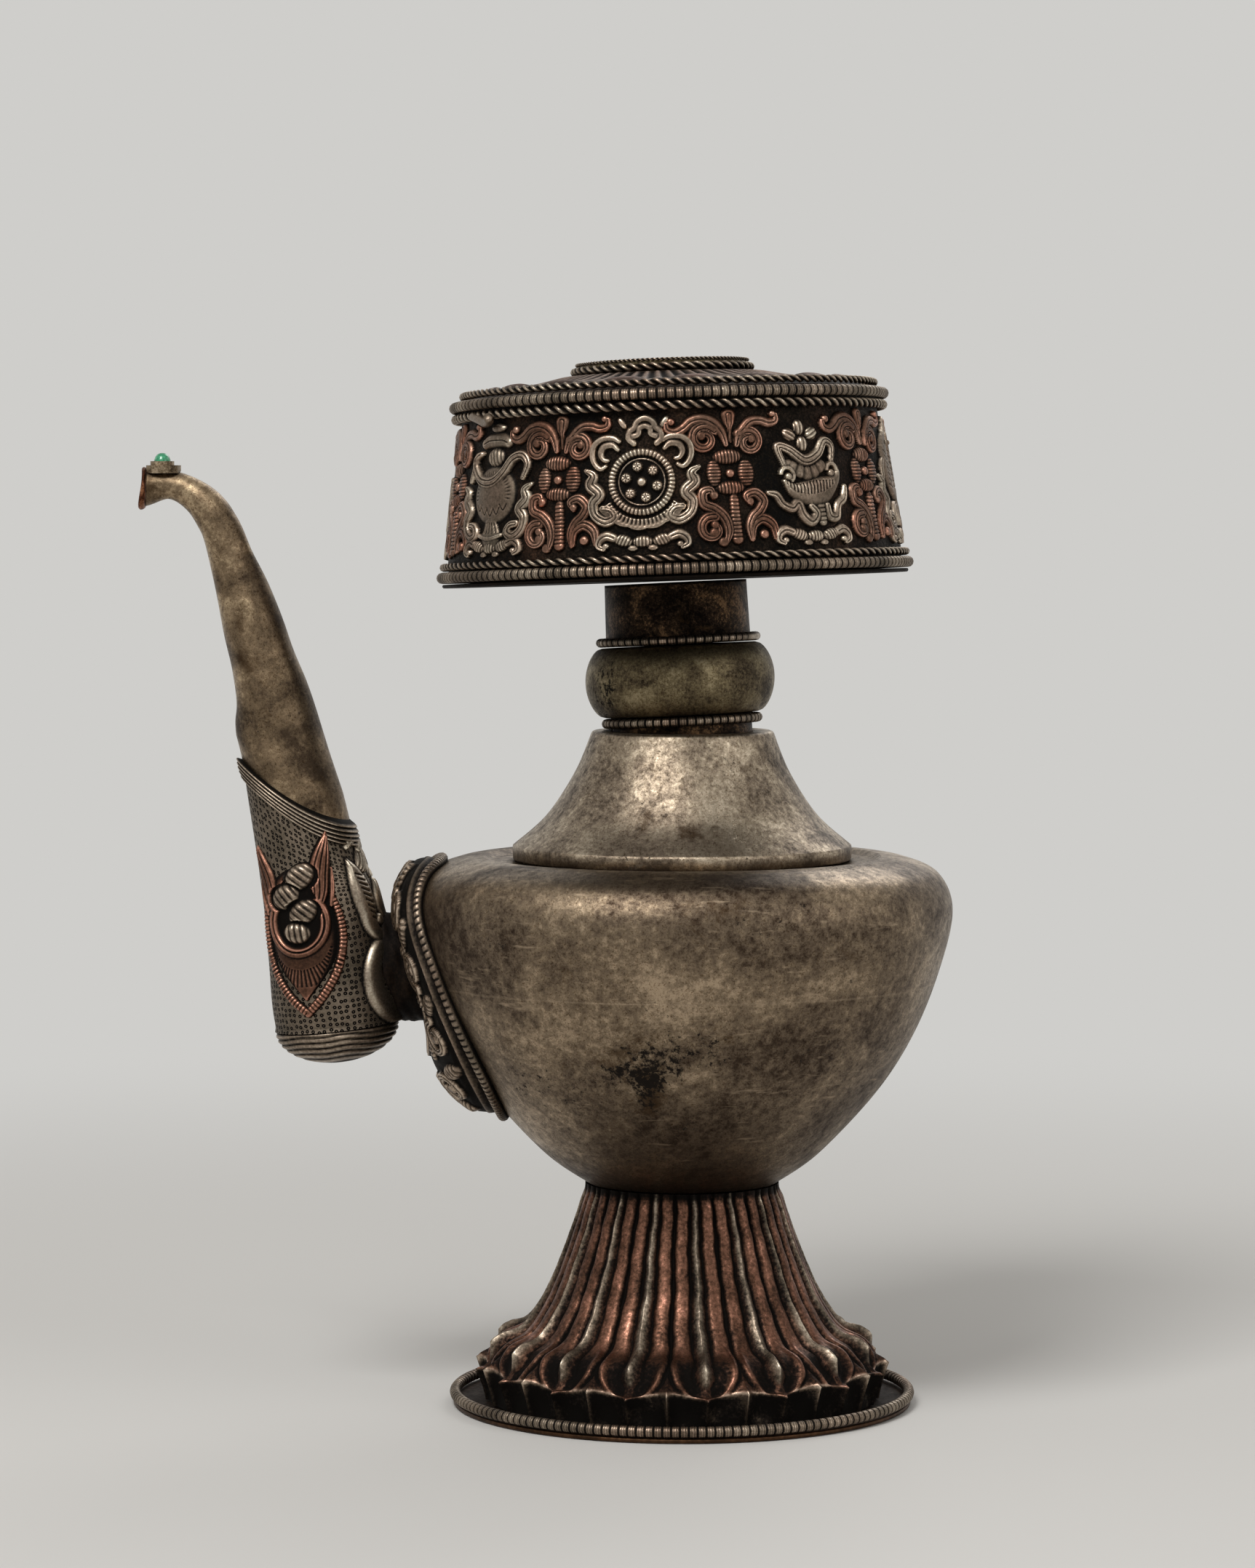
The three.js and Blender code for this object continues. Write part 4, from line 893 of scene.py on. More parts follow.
def boot_leaves(field):
    """The silver leaves between boot and bowl, each with its own veins."""
    field.ribbon([(9.0, 61.0, 0.9), (12.5, 60.5, 1.9), (14.6, 56.4, 2.2), (13.6, 52.4, 1.6), (11, 49.6, 0.5)],
                 1.3, 2)
    field.ribbon([(16.6, 59.0, 0.8), (18.8, 55.0, 1.6), (18.4, 51.0, 1.6), (16.2, 48.4, 0.6)], 1.2, 1)
    field.dome(17.4, 45.4, 3.0, 3.6, 1.3, hatch=(0.9, 0.2), turn=-30)
    field.dome(22.2, 43.0, 2.0, 3.4, 1.2, hatch=(0.9, 0), turn=-30)
    field.ribbon([(10.6, 46.0, 0.4), (12.2, 42.4, 1.9), (13.6, 37.5, 2.9), (14.6, 32.5, 2.8), (14.6, 28.6, 2.1),
                  (16.8, 25.6, 1.6), (20.6, 24.6, 1.4), (22.6, 26.2, 1.1)], 1.6, 0)
    for i in range(9):
        field.chase([(11.6 + 0.42 * i, 43.0 - 1.6 * i), (14.4 + 0.36 * i, 41.6 - 1.6 * i)], 0.6, 0.25)
    field.dome(18.6, 28.9, 1.6, 1.6, 1.5)
    field.ribbon([(21.6, 39.0, 0.5), (21.2, 35.0, 1.7), (21.8, 30.8, 1.5), (24.3, 28.0, 0.6)], 1.2, 1)
    field.ribbon([(24.6, 21.4, 1.4), (20.6, 22.6, 1.9), (15.6, 21.2, 2.1), (12.9, 16.0, 2.5), (14.4, 10.4, 3.3),
                  (18.4, 6.4, 3.4), (24.6, 4.2, 2.6)], 1.6, 0)
    for i in range(8):
        field.chase([(15.6 + 1.0 * i, 12.6 - 1.3 * i), (20.6 + 0.6 * i, 12.9 - 1.3 * i)], 0.5, 0.26)
    field.dome(19.8, 16.9, 2.3, 2.3, 1.5)
    for turn in range(0, 360, 60):
        field.dome(19.8 + 1.4 * math.cos(math.radians(turn)), 16.9 + 1.4 * math.sin(math.radians(turn)),
                   0.7, 0.7, 0.4, base=1.3)


def boot_shell():
    way, along = np.meshgrid(np.linspace(-np.pi, np.pi, 341), np.linspace(boot_seam, boot_top, 214))
    radius = boot_radius(along)
    x, y = radius * np.cos(way), radius * np.sin(way)
    field = Relief((np.pi / 2 - np.abs(way)) * radius, along - slant(x, y, along), 0.0, bold=1.3)
    boot_leaves(field)
    leaves = np.clip(field.h * 2.5, 0, 1)
    outline = np.clip(blurred(leaves, 2) * 2 - leaves * 2, 0, 1)
    field.h = field.h + 0.35 * np.clip(1 - (along - boot_seam) / 1.2, 0, 1)
    wear = np.clip(field.wear(boot_cell, sharp=2.4, level=0.43, dark=-1) + 0.12 * leaves - 0.6 * outline, 0, 1)
    field.x, field.y = way, along

    def place(way, along, off):
        radius = boot_radius(along) + off * np.clip((boot_top - along) / 4, 0, 1)
        return on_slanted_spout(radius * np.cos(way), radius * np.sin(way), along)
    return relief_mesh("spout_boot_shell", field, place, {"wear": wear, "copper": 0.12, "leaf": leaves}, True)


def ring_punched(name):
    """Silver struck all over with a small ring punch, blackened in the rings; the leaves stay smooth."""
    material, tree = new_material(name)
    flat = add(tree, "UVMap", uv_map="pattern")
    place = add(tree, "Mapping", {"Vector": flat, "Scale": (2 * math.pi * 15.5, boot_length, 1)})
    solid = add(tree, "TexCoord").outputs["Object"]
    wear, leaf = (add(tree, "Attribute", attribute_name=label).outputs["Fac"] for label in ("wear", "leaf"))
    away = add(tree, "TexVoronoi", {"Vector": place, "Scale": 1 / 1.55, "Randomness": 0.4},
               voronoi_dimensions="2D")
    off_ring = add(tree, "Math", {0: away, 1: 0.2}, operation="SUBTRACT")
    off_ring = add(tree, "Math", {0: off_ring}, operation="ABSOLUTE")
    struck = add(tree, "MapRange", {"Value": off_ring, "From Min": 0.07, "From Max": 0.13, "To Min": 1.0,
                                    "To Max": 0.0})
    ground_only = add(tree, "MapRange", {"Value": leaf, "From Min": 0.05, "From Max": 0.3, "To Min": 1.0,
                                         "To Max": 0.0})
    rings = add(tree, "Math", {0: struck, 1: ground_only}, operation="MULTIPLY")
    fine = add(tree, "TexNoise", {"Vector": solid, "Scale": 1 / (0.6 * MM), "Detail": 4.0, "Roughness": 0.65})
    broad = add(tree, "TexNoise", {"Vector": solid, "Scale": 1 / (11 * MM), "Detail": 4.0})
    shift = add(tree, "Math", {0: fine, 1: 0.5}, operation="MULTIPLY")
    shift = add(tree, "Math", {0: broad, 1: 0.45, 2: shift}, operation="MULTIPLY_ADD")
    lifted = add(tree, "Math", {0: shift, 1: wear}, operation="ADD")
    lowered = add(tree, "Math", {0: lifted, 1: 0.32}, operation="SUBTRACT")
    sunk = add(tree, "Math", {0: rings, 1: 0.7}, operation="MULTIPLY")
    rubbed = add(tree, "Math", {0: lowered, 1: sunk}, operation="SUBTRACT", use_clamp=True)
    colour = add(tree, "ValToRGB", {"Fac": rubbed}, ramp=list(zip((0.08, 0.28, 0.5, 0.74, 0.95), silver_tones)))
    rough = add(tree, "ValToRGB", {"Fac": rubbed}, ramp=[(0.1, 0.8), (0.45, 0.55), (0.9, 0.36)])
    metal = add(tree, "ValToRGB", {"Fac": rubbed}, ramp=metallic_by_rubbing)
    dents = add(tree, "Bump", {"Height": rings, "Strength": 0.9, "Distance": 0.28 * MM}, invert=True)
    grain = add(tree, "Bump", {"Height": fine, "Strength": 0.35, "Distance": 0.12 * MM, "Normal": dents})
    surface = add(tree, "BsdfPrincipled", {"Base Color": colour, "Metallic": metal, "Roughness": rough,
                                           "Specular IOR Level": 0.3, "Normal": grain})
    add(tree, "OutputMaterial", {"Surface": surface})
    return material


punched_silver = ring_punched("ring_punched_silver")
keep(boot_shell(), punched_silver, "vessel", "spout_boot")


# Boot's cap
# The boot's rounded bottom, a cup of silver sheet worked with parallel grooves that sag like the folds of a
# bag, and soldered to the boot's lower edge.

def boot_cap():
    """Its sheet stands on the Z axis first, and is then carried to the spout."""
    turns = np.linspace(math.pi / 2, 0, 44)
    line = [(cap_radius * math.sin(t), boot_seam - solder_film - cap_depth * math.cos(t)) for t in turns[::-1]]
    mesh = turned("spout_boot_cap_sheet", walled(line, 0.9), 180)
    at = corners(mesh)
    radius = np.hypot(at[:, 0], at[:, 1])
    depth = (boot_seam - solder_film - at[:, 2]) / cap_depth
    sag = depth * 6.4 + 0.5 * (at[:, 1] / cap_radius) ** 2 + 0.12 * np.sin(at[:, 0] * 0.5)
    fold = np.abs(np.sin(np.pi * sag)) ** 0.6
    swell = 1 + (0.75 * fold - 0.45) * np.clip(depth * 9, 0, 1) * np.clip(radius / 5, 0, 1) / 14
    at[:, :2] *= swell[:, None]
    set_corners(mesh, np.stack(on_spout(*at.T), 1))
    mark(mesh, "wear", np.clip(0.85 * fold - 0.05, 0, 1))
    mark(mesh, "copper", 0.1)
    return mesh


keep(boot_cap(), chased, "vessel", "spout_boot_cap")


# Spout's band
# A fluted silver strip bent round the joint of boot and horn on a steep slant. It hides the joint and is
# soldered above and below.

def spout_band():
    inner, outer, ridges, rows = 11.6, 12.75, 5, 45
    heights = np.linspace(boot_top - band_width, boot_top + 0.6, rows)
    flutes = [(outer + 0.8 * abs(math.sin(ridges * math.pi * s)) ** 0.5 + 0.3 * math.sin(math.pi * s), z)
              for s, z in zip(np.linspace(0, 1, rows), heights)]
    mesh = turned("spout_band_strip", [(inner, heights[0] - 0.2), *flutes, (inner, heights[-1] + 0.5)], 180)
    at = corners(mesh)
    share = (at[:, 2] - heights[0]) / (heights[-1] - heights[0])
    high = np.abs(np.sin(ridges * np.pi * np.clip(share, 0, 1)))
    set_corners(mesh, np.stack(on_slanted_spout(*at.T), 1))
    mark(mesh, "wear", np.clip(high - 0.12, 0.02, 1))
    mark(mesh, "copper", 0.1)
    return mesh


keep(spout_band(), chased, "vessel", "spout_boot_band")


# Medallions
# A flaming jewel cut from copper sheet and chased, soldered on the front of the boot and again on its back:
# four silvered jewels in a double ring, between two tall flames.

medallion_place, medallion_turn, medallion_cell = 29.0, 22.0, 0.22


def medallion_field():
    x, y = flat_patch(28, 54, medallion_cell)
    field = Relief(x, y)
    # the shield, its feathered border and its two flames
    field.ribbon([(0.2, 9, 8.6), (0.2, 4, 10), (0.2, -2, 10.2), (0.2, -8, 8.2), (0.2, -13, 4.6),
                  (0.2, -17.6, 0.6)], 0.9, 0)
    for side in (-1, 1):
        field.ribbon([(side * 10.3, 8.2, 1.0), (side * 11.5, 3, 1.2), (side * 11.5, -3.5, 1.3),
                      (side * 9.2, -10.5, 1.3), (side * 4.8, -17, 1.3), (0.2, -21.6, 1.2)], 1.1, 0, ribs=1.05)
        field.ribbon([(side * 5.6, 5.0, 0.8), (side * 7.0, 10.0, 2.4), (side * 7.6, 15.0, 3.0),
                      (side * 8.9, 19.8, 2.4), (side * 11.0, 25.6, 0.35)], 1.4, 3)
        field.ribbon([(side * 9.6, 6.5, 0.6), (side * 10.5, 11, 0.8), (side * 10.9, 16, 0.5)], 1.1, 0)
    # the hatched lower part
    turn = np.arctan2(y + 1, x)
    radius = np.hypot(x, y + 1)
    hatch = 0.5 + 0.5 * np.cos(turn * 62)
    zone = (radius > 8.6) & (radius < 13.4) & (turn < -0.35) & (turn > -2.8) & (np.abs(field.h - 0.9) < 0.5)
    field.cut(0.3 * hatch[zone] ** 2, zone)
    # the broad ring, open above, and the dark hollow inside it
    hollow = (np.hypot(x / 6.4, (y - 5) / 10.6) < 1) & (y < 16)
    field.h[hollow] = np.minimum(field.h[hollow], 0.25)
    arc = [(7.4 * math.sin(t) * 1.02, 3 - 8.0 * math.cos(t), 1.6) for t in np.linspace(-2.2, 2.2, 15)]
    field.ribbon(arc, 1.5, 0)
    field.chase([(7.1 * math.sin(t) * 1.02, 3 - 7.7 * math.cos(t)) for t in np.linspace(-2.1, 2.1, 15)], 0.6, 0.24)
    # the jewels, each lapping over the one above it
    silvered = np.zeros_like(x)
    jewels = ((2.4, 15.2, 4.5, 3.5, 25), (-2.4, 10.5, 4.5, 3.5, 15), (2.0, 5.7, 4.5, 3.4, 25),
              (-0.5, 0.5, 4.1, 3.1, -15))
    for jx, jy, across, up, lean in jewels:
        moat = np.hypot((x - jx) / (across + 0.45), (y - jy) / (up + 0.45)) < 1
        field.h[moat] = np.minimum(field.h[moat], 0.4)
        field.dome(jx, jy, across, up, 1.9, hatch=(0.62, 0.2), turn=lean)
        silvered = np.maximum(silvered, np.hypot((x - jx) / across, (y - jy) / up) < 1.04)
    return field, 0.98 - 0.85 * silvered


def on_boot(turn):
    """Places on the boot round a medallion's centre, turned from the front by degrees."""
    def place(across, up, off):
        along = medallion_place + up
        radius = boot_radius(along)
        way = math.radians(turn) + across / radius
        return on_spout((radius + off + 0.15) * np.cos(way), (radius + off + 0.15) * np.sin(way), along)
    return place


medallion, medallion_copper = medallion_field()
for name, node, turn in (("flaming_jewel_front", "spout_medallion", -90 - medallion_turn),
                         ("flaming_jewel_back", "spout_medallion_back", 90 + medallion_turn)):
    marks = {"wear": medallion.wear(medallion_cell, level=0.49), "copper": medallion_copper}
    keep(relief_mesh(name, medallion, on_boot(turn), marks), chased, "vessel", node)


# Horn
# The plain upper part of the spout, raised in two shells and planished by hand, so that it is full of soft
# dents, with its seam filed smooth. Handling keeps it brighter than the bowl.

def horn_radius(along):
    taper = np.clip((along - horn_taper_start) / (horn_throat_place - horn_taper_start), 0, 1)
    beak_start = spout_length - beak_place
    return (horn_root_radius + taper * (horn_throat_radius - horn_root_radius)
            + smoothstep(along, horn_throat_place, beak_start) * (beak_radius - horn_throat_radius)
            + smoothstep(along, beak_start, spout_length) * (horn_mouth_radius - beak_radius))


def horn_shell():
    heights = np.linspace(boot_top + 0.3, lip_place - 0.3, 190)
    mesh = turned("spout_horn_shell", walled([(horn_radius(z), z) for z in heights], 0.9), 128)
    at = corners(mesh)
    turn = np.arctan2(at[:, 1], at[:, 0])
    dents = np.zeros(len(at))
    random = np.random.default_rng(4)
    for _ in range(26):
        middle, way = random.uniform(70, 135), random.uniform(-np.pi, np.pi)
        apart = np.abs((turn - way + np.pi) % (2 * np.pi) - np.pi) * 10
        dents -= random.uniform(0.2, 0.6) * np.exp(-(apart / 4.5) ** 2 - ((at[:, 2] - middle) / 6.5) ** 2)
    near_ends = smoothstep(at[:, 2], 66, 72) * (1 - smoothstep(at[:, 2], 138, 150))
    radius = np.hypot(at[:, 0], at[:, 1])
    at[:, :2] *= ((radius + dents * near_ends) / radius)[:, None]
    set_corners(mesh, np.stack(on_slanted_spout(*at.T), 1))
    return mesh


horn_silver = raised_sheet("planished_silver_horn", ["#463a2e", "#6a5a47", "#826f58", "#b8a283"], "#241c17",
                           spots=0.06, size=15, rough=0.35,
                           stained=[(-123, -5, 229, 5, 0.1), (-118.5, -6.5, 213, 6, 0.13),
                                    (-116, -7, 201, 6, 0.12), (-111, -8.5, 188, 7, 0.12),
                                    (-143, -3, 247, 7, 0.2)],
                           streaks=[(-117.5, -6.6, 210, 3, 0.14)], grained=0.34)
keep(horn_shell(), horn_silver, "vessel", "spout_horn")


# Spout's lip
# The horn's end is a ring of sheet, turned out and soldered on. Pouring and wiping have worn it through to
# copper-coloured metal.

lip_copper = raised_sheet("worn_copper_lip", ["#23150f", "#4a2c1f", "#754a35", "#a87656"], "#1b1310", spots=0.06,
                          size=6, rough=0.42)
lip_line = [(horn_mouth_radius - 0.9, lip_place), (horn_mouth_radius + 0.35, lip_place - 0.1),
            (horn_mouth_radius + 0.7, lip_place + 0.4), (horn_mouth_radius + 0.7, spout_length - 0.35),
            (horn_mouth_radius + 0.35, spout_length), (horn_mouth_radius - 0.6, spout_length),
            (horn_mouth_radius - 0.9, spout_length - 0.3)]
lip = turned("spout_lip_ring", lip_line, 72)
at = corners(lip)
turn = np.arctan2(at[:, 1], at[:, 0])
at[:, 2] += 0.3 * np.sin(2 * turn + 0.6) * smoothstep(at[:, 2], lip_place, spout_length)
set_corners(lip, np.stack(on_slanted_spout(*at.T), 1))
keep(lip, lip_copper, "vessel", "spout_lip")


# Stone's setting
# A little silver saddle bent over the horn's tip and soldered on, with a cup for the stone. Its packed
# solid is shown as it is, in this finish.

setting_silver = raised_sheet("silver_setting", ["#40362b", "#7b6b55", "#a3917a", "#c4b498"], "#17130f",
                              spots=0.04, size=6, rough=0.36)
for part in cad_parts["stone_bezel"].material_slots:
    part.material = setting_silver


# Turquoise
# A small green turquoise, domed and polished by hand, and veined with brown matrix. It sits in the cup,
# whose edge is pressed in round it.

def turquoise(name):
    material, tree = new_material(name)
    place = add(tree, "TexCoord").outputs["Object"]
    cloud = add(tree, "TexNoise", {"Vector": place, "Scale": 1 / (1.1 * MM), "Detail": 4.0, "Distortion": 0.8})
    vein = add(tree, "TexNoise", {"Vector": place, "Scale": 1 / (0.7 * MM), "Detail": 5.0, "Roughness": 0.7})
    body = add(tree, "ValToRGB", {"Fac": cloud}, ramp=[(0.32, "#1f7350"), (0.5, "#2f9064"), (0.66, "#55b184")])
    lines = add(tree, "MapRange", {"Value": vein, "From Min": 0.62, "From Max": 0.7})
    colour = add(tree, "Mix", {"Factor": lines, "A": body, "B": "#3b2c1c"}, data_type="RGBA")
    surface = add(tree, "BsdfPrincipled", {"Base Color": colour.outputs["Result"], "Roughness": 0.22,
                                           "Coat Weight": 0.4, "Coat Roughness": 0.15})
    add(tree, "OutputMaterial", {"Surface": surface})
    return material


stone_low, stone_high = (np.array(end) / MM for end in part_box("turquoise_stone"))
stone_radius = (stone_high[0] - stone_low[0]) / 2
stone_line = [(stone_radius * math.cos(t) ** 0.8, stone_low[2] + (stone_high[2] - stone_low[2]) * math.sin(t))
              for t in np.linspace(0, math.pi / 2, 20)]
stone = turned("turquoise_cabochon", [(0, stone_low[2]), *stone_line[:-1], (0, stone_high[2])], 48)
at = corners(stone)
at[:, 0] = at[:, 0] * (1 + 0.04 * np.sin(3 * np.arctan2(at[:, 1], at[:, 0]))) + (stone_low[0] + stone_high[0]) / 2
set_corners(stone, at)
keep(stone, turquoise("green_turquoise"), "vessel", "turquoise_stone")


# Upper section
# Everything above the bell leans three degrees, because its loose spigot has settled in the bell's mouth.
# The spigot is a plain blackened tube.

lean_left, lean_back = math.radians(2.8), math.radians(1.7)
upper_lift = 182.86
upper_place = (Matrix.Translation((0, 0, upper_lift)) @ Matrix.Rotation(-lean_back, 4, "X")
               @ Matrix.Rotation(-lean_left, 4, "Y"))


def carry(mesh, place):
    """Carries a mesh made upright to its leaning place."""
    mesh.transform(Matrix.Scale(MM, 4) @ place @ Matrix.Scale(1 / MM, 4))
    return mesh


blackened = raised_sheet("blackened_silver_tube", ["#0f0c0a", "#1c1612", "#35291f", "#735940"], "#0b0908",
                         spots=0.05, size=9, rough=0.48)
spigot_radius, spigot_length, neck_wall = 18.7, 16, 1.1
spigot_heights = [-spigot_length, *np.linspace(1 - spigot_length, 2, 8), 2.6]
spigot = turned("spigot", walled([(spigot_radius, z) for z in spigot_heights], neck_wall), 96)
keep(carry(spigot, upper_place), blackened, "upper_section", "neck_spigot")


# Neck
# A hollow hammered knop between two beaded rings, and a plain tube above it, rolled from dark sheet with its
# lap seam at the front. The upper ring's wire ends in a plain smooth stretch at its right.

lower_ring_radius, lower_ring_wire, lower_ring_beads = 20.3, 1.3, 58
lower_ring = beaded("lower_ring", level_ring(lower_ring_radius, lower_ring_wire, upper_place), lower_ring_wire,
                    lower_ring_beads)
keep(lower_ring, silver_wire, "upper_section", "lower_bead_ring")
knop_bottom, knop_height, knop_end_radius, knop_swell = 2.9, 18.6, 20.5, 4.9
knop_share = np.linspace(0, 1, 49)
knop_line = [(knop_end_radius + knop_swell * math.sin(math.pi * s) ** 0.5, knop_bottom + knop_height * s)
             for s in knop_share]
knop = turned("knop", walled(knop_line, neck_wall), 160)
hammered(knop, 0.12, 5, 3)
knop_silver = raised_sheet("hammered_silver_knop", ["#352d23", "#5a4f3d", "#74684f", "#93866a"], "#1d1811",
                           spots=0.14, size=10, rough=0.43)
keep(carry(knop, upper_place), knop_silver, "upper_section", "neck_knop")
neck_bottom, neck_top, neck_foot_radius, neck_narrowing = 21.8, 38.3, 19.4, 0.4
upper_ring_radius, upper_ring_height, upper_ring_wire, upper_ring_beads = 20.9, 23.0, 1.2, 55
upper_ring = beaded("upper_ring", level_ring(upper_ring_radius, upper_ring_height, upper_place), upper_ring_wire,
                    upper_ring_beads, plain=(-12, 24))
keep(upper_ring, silver_wire, "upper_section", "upper_bead_ring")
tube_line = [(neck_foot_radius - neck_narrowing * s, neck_bottom + (neck_top - neck_bottom) * s)
             for s in np.linspace(0, 1, 20)]
tube = turned("neck_tube_sheet", walled(tube_line, neck_wall), 160)
places = corners(tube)
seam_turn = math.radians(-90 + 10)
off_seam = (np.arctan2(places[:, 1], places[:, 0]) - seam_turn) * 19.2
lap = 0.5 * np.clip(1 - np.clip(off_seam, 0, None) / 7, 0, 1) * (off_seam > 0) - 0.3 * groove(off_seam + 0.6, 0.7)
radius = np.hypot(places[:, 0], places[:, 1])
places[:, :2] *= ((radius + lap) / radius)[:, None]
set_corners(tube, places)
keep(carry(tube, upper_place), blackened, "upper_section", "neck_tube")


# Crown's body
# A drum of sheet, soldered on a flat round plate and blackened so that the ornaments on it stand out. Two
# wires are soldered round its foot and three round its rim.

crown_lean, crown_seat = math.radians(0.7), 38.83
crown_place = upper_place @ Matrix.Translation((0, 0, crown_seat)) @ Matrix.Rotation(crown_lean, 4, "Y")
crown_foot, crown_top = 60.6, 55.5
band_bottom, frieze_bottom, frieze_top, band_top = 1.3, 7.0, 43.6, 48.4
underplate_line = [(17.9, 0.1), (62.1, 0.1), (62.4, 0.4), (62.4, 0.8), (62.2, 1), (17.9, 1)]
underplate = turned("crown_underplate_sheet", underplate_line, 160)
mark(underplate, "wear", 0.2)
mark(underplate, "copper", 0.2)
keep(carry(underplate, crown_place), grimy, "upper_section", "crown_underplate")
ground = patinated("blackened_punched_ground", ["#0d0c0b", "#16130f", "#2b251f", "#4d4236", "#75654f"],
                   ["#0d0b0a", "#1a1410", "#33241c", "#573a2b", "#80553f"], grain_mm=0.6, pit_mm=0.9, uneven=1.8)
band_line = [(crown_foot, band_bottom), (crown_foot, frieze_bottom), (crown_top, frieze_top),
             (crown_top, band_top)]
band = turned("crown_drum", walled(band_line, 1.2), 220)
places = corners(band)
patches = np.sin(np.arctan2(places[:, 1], places[:, 0]) * 8 + 0.9) * np.sin(places[:, 2] * 0.35)
mark(band, "wear", 0.33 + 0.08 * patches)
mark(band, "copper", 0.4 + 0.4 * patches)
keep(carry(band, crown_place), ground, "upper_section", "crown_band")


def joined(*meshes):
    """The first mesh with the others added to it."""
    work = bmesh.new()
    for mesh in meshes:
        work.from_mesh(mesh)
    work.to_mesh(meshes[0])
    work.free()
    return meshes[0]


def roped(name, path, radius, lobes, steps=10, sides=8):
    """Two round wires twisted tightly together, so that slanted lobes show, as one mesh."""
    strands = []
    for start in (0, math.pi):
        def section(turn, around, start=start):
            lay = -turn * lobes / 2 + start
            out = radius * (0.48 * np.cos(lay) + 0.56 * np.cos(around))
            up = radius * (0.48 * np.sin(lay) + 0.56 * np.sin(around))
            reach = np.hypot(out, up) / radius
            return out, up, 0.03 + 0.78 * np.clip((reach - 0.55) / 0.42, 0, 1)
        strands.append(wire_ring(name, path, lobes // 2, steps * 2, sides, section))
    return joined(*strands)


def bent(mesh, points):
    """Bends a mesh that stands on the Z axis, 1 mm tall, along a line of points."""
    line = curve(points, 60)
    run = np.concatenate([[0], np.cumsum(np.linalg.norm(np.diff(line, axis=0), axis=1))])
    ahead = np.gradient(line, axis=0)
    at = corners(mesh)
    spot, ahead = (np.stack([np.interp(at[:, 2] * run[-1], run, part[:, i]) for i in range(3)], 1)
                   for part in (line, ahead / np.linalg.norm(ahead, axis=1)[:, None]))
    side = np.cross(ahead, (0, 0, 1.0))
    side = side / np.linalg.norm(side, axis=1)[:, None]
    set_corners(mesh, spot + at[:, :1] * side + at[:, 1:2] * np.cross(side, ahead))
    return mesh


bead_wire, bottom_rope_wire, lower_rope_wire, upper_rope_wire = 1.5, 1.0, 1.25, 1.05  # half their thickness
lower_rope_radius, lower_rope_height = crown_top + solder_film + lower_rope_wire, frieze_top + lower_rope_wire


def rope_end():
    """The lower rope's end, which hangs down over its start on the left and is cut off square."""
    radius, rim = 1.3, 1.2
    outline = [(0, 0), (rim, 0), *[(radius, z) for z in np.linspace(0.05, 0.95, 14)], (rim, 1), (0, 1)]
    line = [((lower_rope_radius + out) * math.cos(math.radians(turn)),
             (lower_rope_radius + out) * math.sin(math.radians(turn)), lower_rope_height + up)
            for turn, out, up in ((-155, 0.0, 0.0), (-150, 0.6, -1.0), (-146, 1.3, -2.0), (-143, 2.3, -1.6),
                                  (-142, 3.3, -0.7))]
    mesh = carry(bent(turned("rope_end", outline, 20), line), crown_place)
    mark(mesh, "wear", 0.72)
    mark(mesh, "copper", 0.1)
    return mesh


# from the foot up, each with its number of beads or of lobes
for make, name, radius, height, wire, count in (
        (beaded, "bottom_bead", crown_foot + solder_film + bead_wire, band_bottom + bead_wire, bead_wire, 174),
        (roped, "bottom_rope", crown_foot + solder_film + bottom_rope_wire, band_bottom + 4.3, bottom_rope_wire,
         125),
        (roped, "lower_rope", lower_rope_radius, lower_rope_height, lower_rope_wire, 120),
        (beaded, "top_bead", crown_top + solder_film + bead_wire, frieze_top + 4.3, bead_wire, 154),
        (roped, "upper_rope", crown_top - 0.6, 50.9, upper_rope_wire, 128)):
    mesh = make(f"crown_{name}", level_ring(radius, height, crown_place), wire, count)
    if name == "lower_rope":
        mesh = joined(mesh, rope_end())
    keep(mesh, silver_wire, "upper_section", f"crown_{name}_wire")


# Symbol plaques
# The eight lucky signs of Buddhism, each cut and chased from silver sheet and soldered on the drum, with
# fluttering ribbons at its sides and lotus leaves under it. Acid and soot keep their hollows black.

frieze_height = frieze_top - frieze_bottom
plaque_cell = 0.24


def on_drum(turn):
    """Places on the crown's drum round a plaque's centre, turned from the front by degrees."""
    carried = np.array(crown_place)

    def place(across, up, off):
        share = up / frieze_height + 0.5
        radius = crown_foot + share * (crown_top - crown_foot)
        way = math.radians(turn - 90) + across / radius
        points = np.stack([(radius + off) * np.cos(way), (radius + off) * np.sin(way),
                           frieze_bottom + frieze_height / 2 + up, np.ones_like(up)], 1)
        return (points @ carried.T)[:, :3].T
    return place


def both_sides(draw, line, height, lines):
    """Draws a line on the right and its mirror image on the left."""
    for side in (-1, 1):
        draw([(side * x, y, w) for x, y, w in line], height, lines)


def ribbons(field, reach=0.0, top=3.2):
    """A fluttering silk ribbon down each side."""
    wave = [(14.7, 3.4, 0.5), (12.7, 2.0, 1.1), (13.4, -0.4, 1.5), (11.2, -2.8, 1.4), (12.9, -5.2, 1.3),
            (12.3, -8.2, 1.2), (9.6, -9.9, 1.25), (7.2, -8.8, 1.1), (8.2, -7.0, 0.9), (10.3, -6.6, 0.8)]
    both_sides(field.ribbon, [(x - reach, y + top - 3.2, w) for x, y, w in wave], 1.4, 2)


